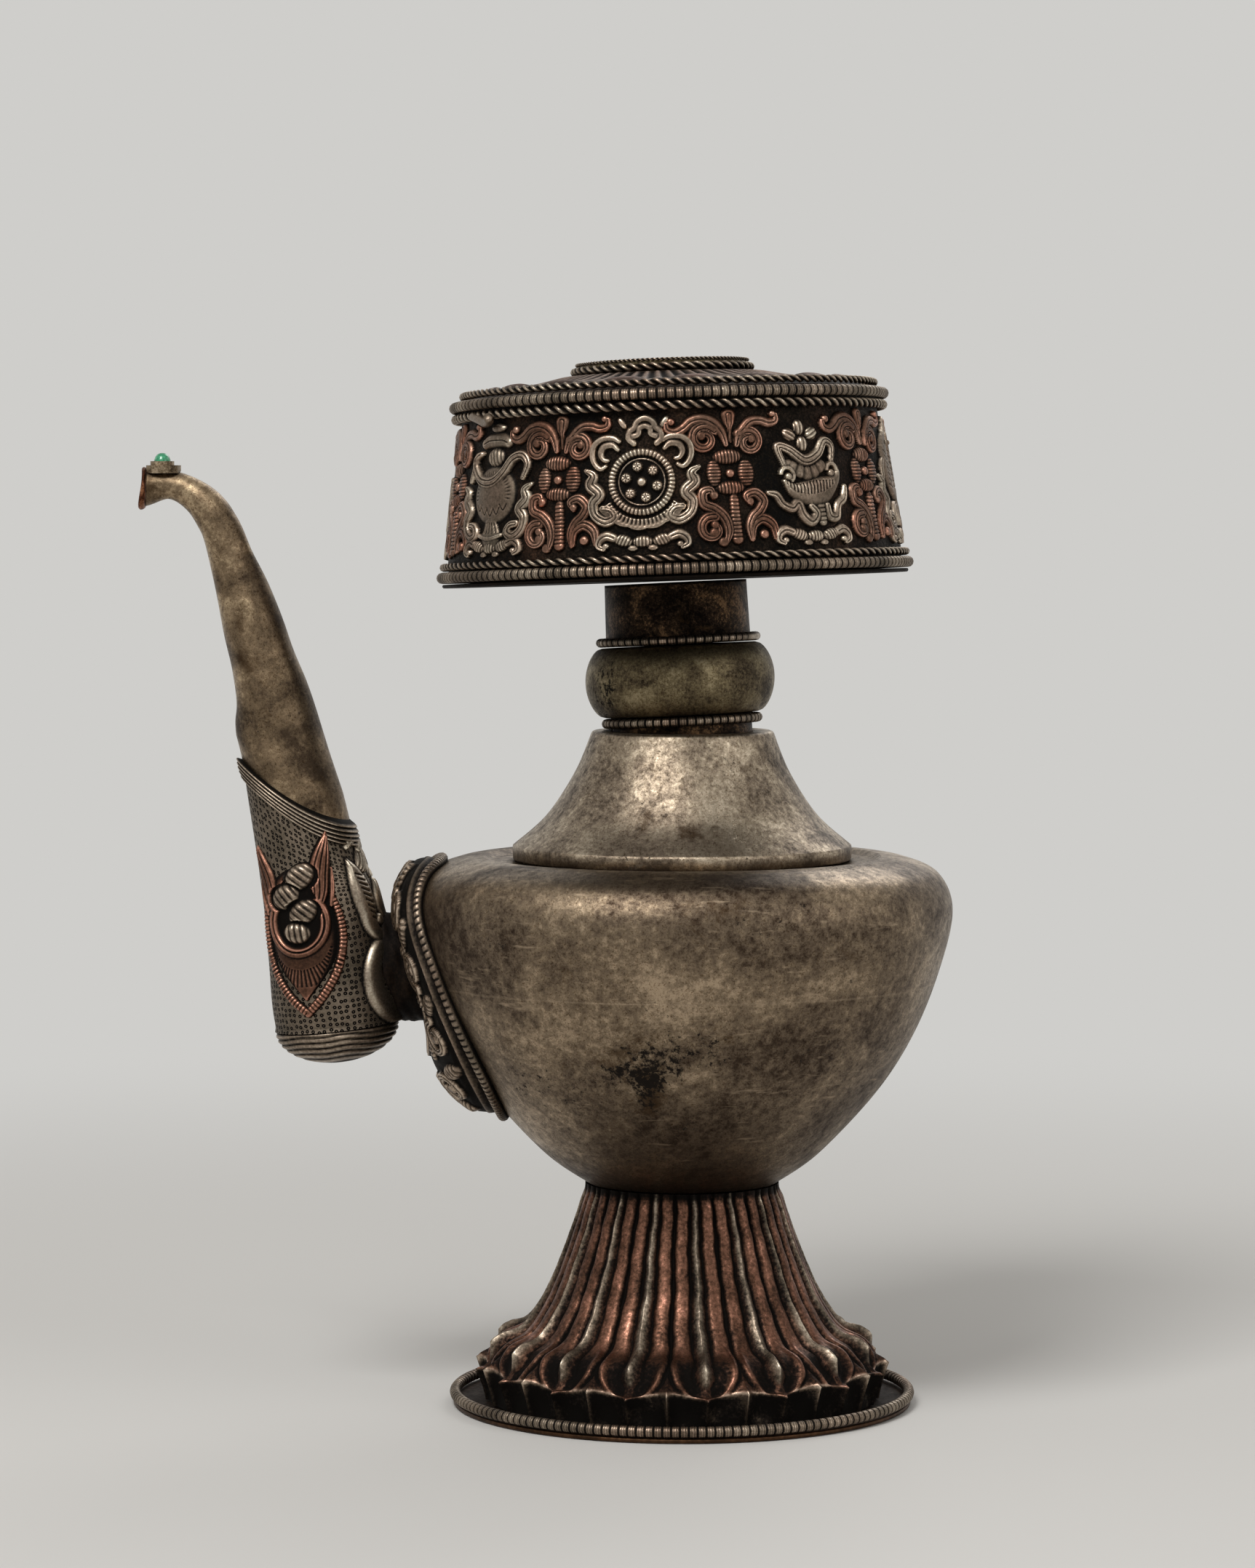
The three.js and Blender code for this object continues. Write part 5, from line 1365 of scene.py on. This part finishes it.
def base_leaves(field):
    """A row of lotus leaves along the foot of the plaque."""
    field.dome(0, -15.3, 2.4, 1.5, 1.35, hatch=(1.1, 0))
    for side in (-1, 1):
        field.dome(side * 5.1, -14.9, 2.4, 1.5, 1.3, hatch=(1.1, 0.3 * side), turn=side * 12)
        field.ribbon([(side * 7.4, -14.2, 1.0), (side * 9.4, -13.6, 1.1), (side * 11.2, -14.6, 1.0),
                      (side * 11.6, -16.2, 0.8), (side * 10.2, -17.0, 0.6)], 1.3, 1)
        field.dome(side * 9.6, -16.2, 0.9, 0.8, 1.3)
        field.dome(side * 2.6, -17.0, 1.3, 0.8, 0.9)


def jewel(field, x, y, size, turn=0.0, height=1.45):
    """A small cut boss with a star of grooves on it."""
    dx, dy = field.x - x, field.y - y
    near = np.hypot(dx, dy) < size * 1.5
    way = np.arctan2(dy[near], dx[near]) + math.radians(turn)
    radius = np.hypot(dx[near], dy[near])
    edge = size * (0.93 + 0.07 * np.cos(6 * way))
    value = height * np.minimum(1, 2.6 * (1 - radius / edge)) - 0.42 * np.abs(np.cos(3 * way)) ** 8
    field.raise_to(np.maximum(value, BARE), near)


def cloud(field, x, y, size):
    """A trefoil cloud of two folded bands."""
    outer = [(-2.7, -3.0), (-4.0, -1.7), (-3.7, 0.1), (-2.5, 1.1), (-1.7, 2.7), (0.3, 3.6), (2.2, 2.7), (3.0, 1.1),
             (4.2, 0.0), (4.5, -1.8), (3.3, -3.1)]
    inner = [(-2.7, -1.1), (-1.5, -0.6), (-1.1, 0.9), (0.3, 1.5), (1.6, 0.8), (1.8, -0.6), (3.0, -1.2)]
    for line, width in ((outer, 0.78), (inner, 0.72)):
        field.ribbon([(x + size * a, y + size * b, width * size) for a, b in line], 1.35, 0)


def wheel(field):
    field.h[np.hypot(field.x, field.y) < 8] = 0.05
    field.hoop(0, 0, 7.75, 1.15, 1.5, notches=48)
    field.hoop(0, 0, 5.95, 0.3, 0.5)
    field.dome(0, 0, 1.2, 1.2, 1.45)
    for i in range(6):
        way = math.radians(44.6 + 60 * i)
        jewel(field, 4.1 * math.cos(way), 4.1 * math.sin(way), 1.8, 30 + 60 * i, 1.6)
    # the skirt under it, hatched from the ring outwards
    turn, radius = np.arctan2(field.y, field.x), np.hypot(field.x, field.y)
    lobes = 12.3 + 0.4 * np.abs(np.cos(turn * 7.5)) + 1.2 * np.abs(np.cos(turn)) ** 3
    skirt = np.where((turn < -0.55) & (turn > -2.6), np.minimum(lobes - radius, radius - 9.25), -1)
    hatch = (0.5 + 0.5 * np.cos(turn * 62)) ** 2 * np.clip((11.6 - radius) / 0.8, 0, 1)
    field.raise_to(np.clip(skirt * 3, BARE, 1.15) - np.where(skirt > 0.1, 0.5 * hatch, 0))
    cloud(field, 0.8, 12.9, 0.98)
    for side in (-1, 1):
        field.dome(0.6 + side * 5.4, 15.3, 1.7, 0.85, 1.1, turn=side * 58)
    both_sides(field.ribbon, [(5.6, 10.6, 0.55), (7.3, 11.5, 0.75), (10.1, 11.4, 0.75), (12.3, 9.7, 0.75),
                              (12.8, 7.2, 0.75), (12.1, 5.0, 0.7), (10.6, 3.7, 0.6), (9.3, 4.3, 0.5)], 1.35, 0)
    both_sides(field.ribbon, [(6.0, 8.5, 0.55), (7.4, 9.7, 0.75), (9.6, 9.4, 0.8), (10.5, 7.7, 0.75),
                              (9.8, 6.1, 0.6), (8.7, 5.8, 0.5)], 1.35, 0)
    ribbons(field)
    base_leaves(field)


def treasure_vase(field):
    field.dome(0.3, 15.9, 2.7, 1.15, 1.3)
    field.ribbon([(-5.0, 12.0, 1.2), (-2.4, 12.7, 1.5), (2.4, 12.7, 1.5), (5.0, 12.0, 1.2)], 1.3, 1)
    field.dome(0, 8.3, 3.1, 2.3, 1.35, hatch=(0.8, 0.2))
    field.dome(0, -1.6, 8.0, 6.9, 1.45)
    bulb = np.hypot(field.x / 8, (field.y + 1.6) / 6.9)
    hatch = (0.5 + 0.5 * np.cos(np.arctan2(field.y + 1.6, field.x) * 44)) ** 2
    field.cut(0.32 * hatch * np.clip(1 - np.abs(bulb - 0.83) / 0.14, 0, 1) * (field.y > -3))
    for i in range(-2, 3):
        field.chase([(i * 2.5 - 1.2, -5.2 + 0.3 * i * i), (i * 2.5, -6.9 + 0.35 * i * i),
                     (i * 2.5 + 1.2, -5.2 + 0.3 * i * i)], 0.35, 0.2)
    field.ribbon([(0, -9.0, 2.2), (0, -10.6, 2.6), (0, -11.8, 3.4)], 1.15, 0)
    for i in range(-3, 4):
        field.chase([(i * 0.85, -8.8), (i * 1.3, -11.4)], 0.35, 0.17)
    field.ribbon([(-4.8, -12.0, 0.5), (0, -12.9, 0.6), (4.8, -12.0, 0.5)], 1.4, 0)
    # the scarf knotted round its neck
    field.ribbon([(-9.3, 8.6, 0.5), (-8.6, 5.5, 1.0), (-5.2, 2.4, 1.3), (0, 1.9, 1.5), (4.2, 4.3, 1.3),
                  (7.4, 7.6, 1.2), (10.8, 8.4, 1.1), (12.9, 6.0, 0.9), (11.6, 2.6, 0.6)], 1.75, 2)
    field.ribbon([(-6.4, 9.4, 0.7), (-8.6, 8.4, 1.0), (-9.4, 5.4, 0.9), (-10.8, 2.4, 0.6)], 1.5, 1)
    ribbons(field, 0.3, 0.6)
    base_leaves(field)


def parasol(field):
    for x, y, turn in ((-1.6, 12.9, 0), (-4.8, 11, 60), (2.3, 11.3, -60), (-1.0, 8.6, 0)):
        field.dome(x, y, 1.5, 1.9, 1.3, hatch=(0.9, 0), turn=turn)
    field.ribbon([(-7.6, 3.4, 0.6), (-8.9, 7.9, 0.9), (-5.6, 7.2, 1.1), (-1.0, 4.3, 1.3), (3.5, 6.0, 1.2),
                  (6.1, 9.2, 1.1), (8.6, 8.0, 0.9), (8.1, 4.2, 0.6)], 1.4, 2)
    field.ribbon([(-5.9, 3.4, 1.2), (-3, 1.6, 1.5), (0.6, 1.1, 1.6), (4.4, 2.9, 1.3)], 1.2, 0, ribs=2.4)
    field.ribbon([(-8.0, -1.0, 0.5), (-5.4, -3.4, 1.7), (-1.2, -4.2, 2.6), (4.0, -3.4, 2.9), (8.4, -1.0, 1.4),
                  (9.8, 1.6, 0.5)], 1.45, 0)
    fringe = np.interp(field.x, (-8, -5.4, -1.2, 4, 8.4), (-1.4, -3.8, -4.6, -3.8, -1.4))
    hatch = (0.5 + 0.5 * np.cos(2 * np.pi * (field.x - 0.1 * field.y) / 1.05)) ** 2
    field.cut(0.5 * hatch * (field.y > fringe) * (field.y < -0.8) * (np.abs(field.x) < 7.6) * (field.h > 0.9))
    field.hoop(-7.0, 0.6, 1.9, 0.7, 1.4, start=-60, end=180)
    field.dome(-6.6, 0.2, 1.0, 1.0, 1.45)
    field.hoop(7.6, 1.6, 1.8, 0.7, 1.4, start=0, end=180)
    field.dome(7.4, 1.0, 1.0, 1.0, 1.45)
    field.ribbon([(-13.0, -3.9, 0.6), (-10.8, -4.6, 1.0), (-9.2, -6.9, 1.0), (-6.6, -8.0, 1.1), (-4.6, -6.8, 1.1),
                  (-3.4, -9.8, 1.2), (-1.0, -11.6, 1.2), (1.0, -9.6, 1.0), (-0.6, -7.6, 0.8)], 1.35, 1)
    field.ribbon([(2.6, -7.0, 1.1), (2.9, -11.6, 1.1)], 1.25, 0, ribs=1.1)
    field.ribbon([(4.8, -7.4, 0.7), (5.4, -10.2, 1.1), (7.8, -10.4, 1.1), (8.8, -7.4, 1.0), (11.2, -5.6, 1.0),
                  (12.0, -2.6, 0.6)], 1.35, 1)
    base_leaves(field)


def banner(field):
    field.dome(0, 14.6, 1.3, 1.9, 1.3)
    field.ribbon([(0, 12.6, 2.4), (0, 10.4, 5.2)], 1.25, 0)
    for y in (8.6, 2.6, -3.4):
        field.ribbon([(0, y + 1.4, 5.6), (0, y - 3.8, 5.2)], 1.0, 0)
        field.ribbon([(-6, y + 1, 0.8), (-2, y - 0.2, 1.1), (2, y - 0.2, 1.1), (6, y + 1, 0.8)], 1.5, 1)
        for i in range(-4, 5):
            field.chase([(i * 1.15, y - 1.6), (i * 1.15, y - 3.8)], 0.35, 0.18)
    field.ribbon([(0, -8.4, 4.6), (0, -12.6, 0.9)], 1.1, 2)
    ribbons(field)
    base_leaves(field)


def endless_knot(field):
    for count, shift in enumerate((-3.4, 0.0, 3.4)):
        for side in (-1, 1):
            line = [(side * (-5.4 + shift), -3.9 - shift, 1.05), (side * (5.4 + shift), 6.9 - shift, 1.05)]
            field.ribbon(line, 1.4 if (count + (side > 0)) % 2 else 1.15, 1)
    for x, y in ((0, 11.6), (0, -8.6), (-10.1, 1.5), (10.1, 1.5)):
        field.hoop(x, y, 2.0, 0.85, 1.3)
    for x, y in ((-5.6, 8.2), (5.6, 8.2), (-5.6, -5.2), (5.6, -5.2)):
        field.hoop(x, y, 1.7, 0.8, 1.3)
    both_sides(field.ribbon, [(12.6, 8.0, 0.5), (13.6, 5.4, 1.0), (12.6, 3.2, 0.6)], 1.3, 1)
    both_sides(field.ribbon, [(13.4, -1.4, 0.5), (12.2, -4.8, 1.1), (13.2, -8.4, 1.1), (10.0, -10.6, 1.2),
                              (6.8, -9.8, 0.7)], 1.3, 1)
    base_leaves(field)


def conch(field):
    field.ribbon([(-6.6, -8.6, 0.5), (-5.2, -3, 3.4), (-1.6, 1.6, 5.4), (1.6, 5.2, 4.6), (3.6, 9.4, 2.2),
                  (4.6, 12.6, 0.6)], 1.3, 0)
    for i in range(6):
        y = 10.2 - 2.1 * i
        field.chase([(5.4 - 1.0 * i, y), (1.4 - 0.7 * i, y - 1.8), (-3.4 - 0.5 * i, y - 1.2)], 0.5, 0.28)
    field.ribbon([(1.4, -1.6, 1.0), (3.4, -4.4, 1.5), (1.2, -8.2, 1.5), (-3.6, -9.4, 1.1), (-7.4, -8.8, 0.5)],
                 1.55, 2)
    field.scroll(4.2, 11.8, 2.2, 1.2, -90, 0.8, 1.4, 0)
    cloud(field, -5.4, 11.4, 0.75)
    ribbons(field)
    base_leaves(field)


def lotus(field):
    for turn, size in ((-80, 0.8), (80, 0.8), (-54, 0.95), (54, 0.95), (-28, 1.0), (28, 1.0), (0, 1.1)):
        way = math.radians(turn)
        out, up = math.sin(way), math.cos(way)
        field.ribbon([(out * 1.5, -3 + up * 1.5, 1.0), (out * 6, -3 + up * 6, 2.9 * size),
                      (out * 10, -3 + up * 10, 2.2 * size),
                      (out * 13.4 * size, -3 + up * 13.4 * size, 0.4)], 1.35, 3)
    field.dome(0, -3.2, 4.4, 2.6, 1.7, hatch=(0.9, 0))
    field.ribbon([(0, -5.6, 0.9), (0.8, -9, 0.9), (0, -12.8, 0.9)], 1.2, 0, ribs=1.2)
    cloud(field, 0, 13.6, 0.62)
    both_sides(field.ribbon, [(2, -8, 0.6), (5, -7.4, 1.2), (8, -9.4, 1.2), (10.4, -12, 0.6)], 1.25, 2)
    both_sides(field.ribbon, [(13.4, 3, 0.5), (12.2, 0, 1.0), (13.2, -3, 1.1), (11.4, -6.4, 0.8)], 1.3, 1)
    base_leaves(field)


def golden_fishes(field):
    for side in (-1, 1):
        field.ribbon([(side * 4.2, 11.4, 1.1), (side * 5.6, 7.4, 3.0), (side * 4.8, 2.2, 3.3),
                      (side * 2.2, -3.2, 1.9), (side * -1.6, -7.6, 0.9)], 1.35, 0)
        for i in range(7):
            y = 7.2 - 1.5 * i
            field.chase([(side * (7.8 - 0.35 * i), y), (side * (5.2 - 0.45 * i), y - 1.1),
                         (side * (2.6 - 0.4 * i), y)], 0.35, 0.2)
        field.ribbon([(side * -1.4, -7.0, 0.6), (side * -4.6, -8.2, 1.3), (side * -6.6, -11, 0.4)], 1.3, 2)
        field.ribbon([(side * -1.0, -7.6, 0.6), (side * -1.8, -10, 1.1), (side * -1.4, -12.4, 0.4)], 1.2, 1)
        field.dome(side * 4.6, 9.4, 0.7, 0.7, 1.8)
        field.ribbon([(side * 8.4, 5.0, 0.6), (side * 10.6, 2.6, 1.2), (side * 10.8, -0.6, 0.5)], 1.2, 2)
    cloud(field, 0, 13.6, 0.62)
    ribbons(field, 0.2, 0.0)
    base_leaves(field)


symbols = {"wheel": wheel, "vase": treasure_vase, "banner": banner, "knot": endless_knot, "conch": conch,
           "lotus": lotus, "fishes": golden_fishes, "parasol": parasol}
first_symbol_turn, symbol_step = -8.1, 45.0
for count, (name, draw) in enumerate(symbols.items()):
    field = Relief(*flat_patch(30.5, 36, plaque_cell), bold=1.36)
    draw(field)
    tint = 0.16 + 0.16 * np.sin(field.x * 0.31 + count) * np.sin(field.y * 0.27 + 2 * count)
    marks = {"wear": field.wear(plaque_cell, sharp=2.1, level=0.57), "copper": tint}
    plaque = relief_mesh(f"sign_{name}", field, on_drum(first_symbol_turn - symbol_step * count), marks)
    keep(plaque, chased, "upper_section", f"crown_symbol_{name}")


# Flower sprays
# Between the signs, and cut from copper: a four-petalled flower on a ribbed stem with a bud above it, and
# two pairs of scrolling leaves. Each was chased freehand, so no two are alike.

def flower_spray(field, random):
    field.y -= 1.4
    drift = random.uniform(-0.35, 0.35, 12)
    for x, y, across, up, hatch in ((-0.4, 4.3, 3.4, 1.75, (1.15, 0)), (-4.2, 0.1, 1.75, 3.0, (0, 1.15)),
                                    (4.3, 0, 1.95, 3.1, (0, 1.15)), (0, -3.7, 3.4, 1.6, (1.15, 0))):
        field.dome(x, y, across, up, 1.35, hatch=hatch, turn=drift[0] * 12)
    field.dome(0, 0, 1.1, 1.1, 1.35)
    field.ribbon([(0.6, -6.4, 0.95), (0.8 + drift[1], -10.5, 1.05), (0.9, -16.9, 1.15)], 1.25, 0, ribs=1.0)
    field.ribbon([(0.8, 8.2, 0.3), (0.7, 11.4, 0.45), (0.6, 13.0, 1.1), (0.6, 15.0, 1.45)], 1.15, 2)
    # the upper pair
    field.scroll(-5.9 + drift[2], 9.0, 3.5, 1.25, 40, 1.25, 1.35, 2, 1, 0.32)
    field.ribbon([(-0.6, 7.4, 0.5), (-1.6, 10.6, 1.0), (-3.6, 13.0, 1.25), (-6.3, 14.1, 1.2), (-9.1, 13.6, 1.1),
                  (-11.3, 11.9, 1.0), (-13.4, 11.0, 0.95), (-15.3, 11.7, 0.75), (-15.6, 13.2, 0.5)], 1.3, 1)
    field.dome(-14.3, 13.7, 1.0, 1.0, 1.4)
    field.scroll(5.7 + drift[3], 8.0, 3.2, 1.25, 140, 1.15, 1.35, 2, -1, 0.32)
    field.ribbon([(2.2, 7.2, 0.5), (3.2, 10.0, 0.9), (6.1, 13.1, 1.0), (8.9, 13.5, 1.0), (11.3, 12.8, 0.95),
                  (13.3, 13.3, 0.8), (13.5, 15.0, 0.5)], 1.3, 1)
    field.dome(12.6, 15.2, 0.85, 0.85, 1.4)
    # the lower pair
    field.ribbon([(-4.9, -6.1, 0.5), (-5.4, -4.2, 0.8), (-7.4, -4.8, 1.05), (-7.3, -7.6, 1.1), (-4.6, -9.0, 1.15),
                  (-2.2, -11.4, 1.15), (-1.3, -14.6, 1.0), (-2.0, -17.4, 0.5)], 1.35, 2)
    field.dome(-4.6, -5.5, 1.1, 1.1, 1.4)
    field.dome(-2.9, -17.6, 1.3, 1.2, 1.1)
    field.scroll(-5.9 + drift[4], -14.2, 3.3, 0.95, 75, 1.15, 1.35, 2, 1, 0.4)
    field.dome(-5.1, -15.1, 1.25, 1.25, 1.4)
    field.ribbon([(4.9, -7.9, 0.5), (3.9, -5.9, 0.8), (6.3, -5.1, 1.05), (8.4, -7.2, 1.1), (7.4, -9.6, 1.1),
                  (5.5, -11.4, 1.1), (4.4, -14.0, 1.0), (4.7, -17.2, 0.5)], 1.35, 2)
    field.dome(4.8, -7.3, 1.0, 1.0, 1.4)
    field.ribbon([(4.9, -17.0, 0.5), (5.2, -13.6, 0.95), (7.8, -11.9, 1.15), (10.6, -13.6, 1.1),
                  (11.3, -17.0, 0.5)], 1.35, 2)
    field.dome(8.1, -15.9, 1.2, 1.2, 1.4)
    field.y += 1.4


flowers = 8
for count in range(flowers):
    field = Relief(*flat_patch(34, 36, plaque_cell), bold=1.5)
    flower_spray(field, np.random.default_rng(20 + count))
    tint = 0.86 + 0.14 * np.sin(field.x * 0.4 + count) * np.sin(field.y * 0.33 + 3 * count)
    marks = {"wear": field.wear(plaque_cell, sharp=2.1, level=0.51), "copper": tint}
    turn = first_symbol_turn - symbol_step * (count + 0.5)
    spray = relief_mesh(f"flower_spray_{count + 1}", field, on_drum(turn), marks)
    keep(spray, chased, "upper_section", f"crown_flower_{count + 1}")


# Lid
# A shallow cone of sheet that closes the drum, chased with flutes that spread from the mouth and end in
# copper-tipped petals along the rim.

lid_petals, lid_wall, mouth_shift = 16, 0.9, -1.4
lid_line = [(55.5, 49.6), (53.1, 49.6), (48.92, 51.49), (36.41, 52.73), (24.85, 55.0), (21.0, 55.0)]


def lid_sheet():
    line = [lid_line[0], *[tuple(p) for p in curve(lid_line[1:], 90)]]
    mesh = turned("lid_sheet", walled(line, lid_wall), 384)
    at = corners(mesh)
    radius, turn = np.hypot(at[:, 0], at[:, 1]), np.arctan2(at[:, 1], at[:, 0])
    shift = mouth_shift * (1 - smoothstep(radius, 22.1, 53.1))
    phase = (turn * lid_petals / (2 * np.pi) + 0.15) % 1 - 0.5
    across = phase * 2 * np.pi * radius / lid_petals
    pitch = 2 * np.pi * radius / lid_petals
    inside = smoothstep(radius, 24, 28) * (1 - smoothstep(radius, 43.5, 45))
    flutes = np.abs(np.cos(phase * np.pi * 4))
    ribs = flutes**0.8 - 0.45
    tip = np.hypot(across / (0.42 * pitch), (radius - 46.3) / 5.2)
    petal = ridge(tip, 1.0, 2.6) * (radius > 44.5)
    rim = np.exp(-(((tip - 1.0) / 0.12) ** 2)) * (radius > 44.8)
    between = smoothstep(radius, 44.5, 46) * (1 - smoothstep(radius, 51.8, 52.6))
    at[:, 2] += inside * ribs + between * (1.5 * petal + 0.6 * rim - 0.25)
    at[:, 0] += shift
    set_corners(mesh, at)
    level = inside * (0.02 + 0.78 * flutes**2.2) + between * (0.12 + 0.5 * petal + 0.5 * rim)
    mark(mesh, "wear", np.clip(np.where(inside + between < 0.2, 0.3, level), 0.02, 1))
    mark(mesh, "copper", np.clip(0.5 + 0.4 * inside * (1 - flutes) + between * (0.6 * petal - 0.5 * rim), 0, 1))
    return mesh


keep(carry(lid_sheet(), crown_place), chased, "upper_section", "crown_lid")


# Mouth
# A short upright collar of silver sheet, soldered on the lid a little off its middle, with a rope of
# twisted wire and a thinner twist round it.

mouth_place = crown_place @ Matrix.Translation((mouth_shift, 0, 0))
mouth_bottom, mouth_top, mouth_outer = 55.3, 58.6, 22.1
collar_line = [(mouth_outer, mouth_bottom), (mouth_outer, mouth_top - 0.2), (mouth_outer - 0.2, mouth_top)]
collar = carry(turned("mouth_collar_sheet", walled(collar_line, neck_wall), 128), mouth_place)
keep(collar, knop_silver, "upper_section", "mouth_collar")
mouth_rope = roped("mouth_rope", level_ring(mouth_outer + 1.4, mouth_bottom + 1.1, mouth_place), 1.1, 50)
keep(mouth_rope, silver_wire, "upper_section", "mouth_rope_wire")
lip_wire_path = level_ring(mouth_outer + 0.75, mouth_bottom + 2.95, mouth_place)
lip_wire = roped("mouth_lip_twist", lip_wire_path, 0.45, 110, steps=6, sides=6)
keep(lip_wire, silver_wire, "upper_section", "mouth_lip_wire")


# Floor, lights and backdrop
# A plain pale floor that runs out into a backdrop of the same tone, under soft studio light: one large
# panel above the front left, a weaker one at the right and one behind. The room itself is dimmer than it.

backdrop_tone = "#cfcecb"


def seen_ray(tree):
    """1 for what the camera sees, straight or in a reflection, and 0 for the light that falls on things."""
    rays = add(tree, "LightPath").outputs
    either = add(tree, "Math", {0: rays["Is Camera Ray"], 1: rays["Is Glossy Ray"]}, operation="MAXIMUM")
    return add(tree, "Math", {0: either, 1: rays["Is Transmission Ray"]}, operation="MAXIMUM")


def studio_floor(size, height, tone):
    mesh = bpy.data.meshes.new("studio_floor")
    work = bmesh.new()
    bmesh.ops.create_grid(work, x_segments=1, y_segments=1, size=size)
    work.to_mesh(mesh)
    work.free()
    material, tree = new_material("pale_floor")
    paint = add(tree, "BsdfPrincipled", {"Base Color": tone, "Roughness": 0.8})
    glow = add(tree, "Emission", {"Color": backdrop_tone, "Strength": 1.0})
    place = add(tree, "TexCoord").outputs["Object"]
    away = add(tree, "VectorMath", {0: place}, operation="LENGTH").outputs["Value"]
    far = add(tree, "MapRange", {"Value": away, "From Min": 0.22, "From Max": 0.85},
              interpolation_type="SMOOTHSTEP")
    share = add(tree, "Math", {0: far, 1: seen_ray(tree)}, operation="MULTIPLY")
    both = add(tree, "MixShader", {0: share, 1: paint, 2: glow})
    add(tree, "OutputMaterial", {"Surface": both})
    mesh.materials.append(material)
    plane = bpy.data.objects.new("studio_floor", mesh)
    plane.location.z = height
    bpy.context.scene.collection.objects.link(plane)


studio_floor(4.0, -0.0002, "#dcdad6")


lamp_aim = (0, 0, 0.15)


def panel(name, place, size, power):
    """A soft square light of a size in metres, turned towards the vase's middle."""
    data = bpy.data.lights.new(name, "AREA")
    data.shape = "SQUARE"
    data.size = size
    data.energy = power
    lamp = bpy.data.objects.new(name, data)
    lamp.location = place
    way = Vector([to - at for to, at in zip(lamp_aim, place)])
    lamp.rotation_euler = way.to_track_quat("-Z", "Y").to_euler()
    bpy.context.scene.collection.objects.link(lamp)


panel("key_panel", (-0.45, -0.85, 1.25), 0.55, 13)
panel("fill_panel", (1.2, -0.8, 0.7), 0.8, 3)
panel("back_panel", (0.5, 1.2, 1.1), 0.8, 4)
world = bpy.data.worlds.new("studio")
bpy.context.scene.world = world
world.use_nodes = True
tree = world.node_tree
tree.nodes.clear()
tone = add(tree, "Mix", {"Factor": seen_ray(tree), "A": "#908e8b", "B": backdrop_tone}, data_type="RGBA")
sky = add(tree, "Background", {"Color": tone.outputs["Result"], "Strength": 1.0})
add(tree, "OutputWorld", {"Surface": sky})
bpy.context.scene.view_settings.view_transform = "Standard"
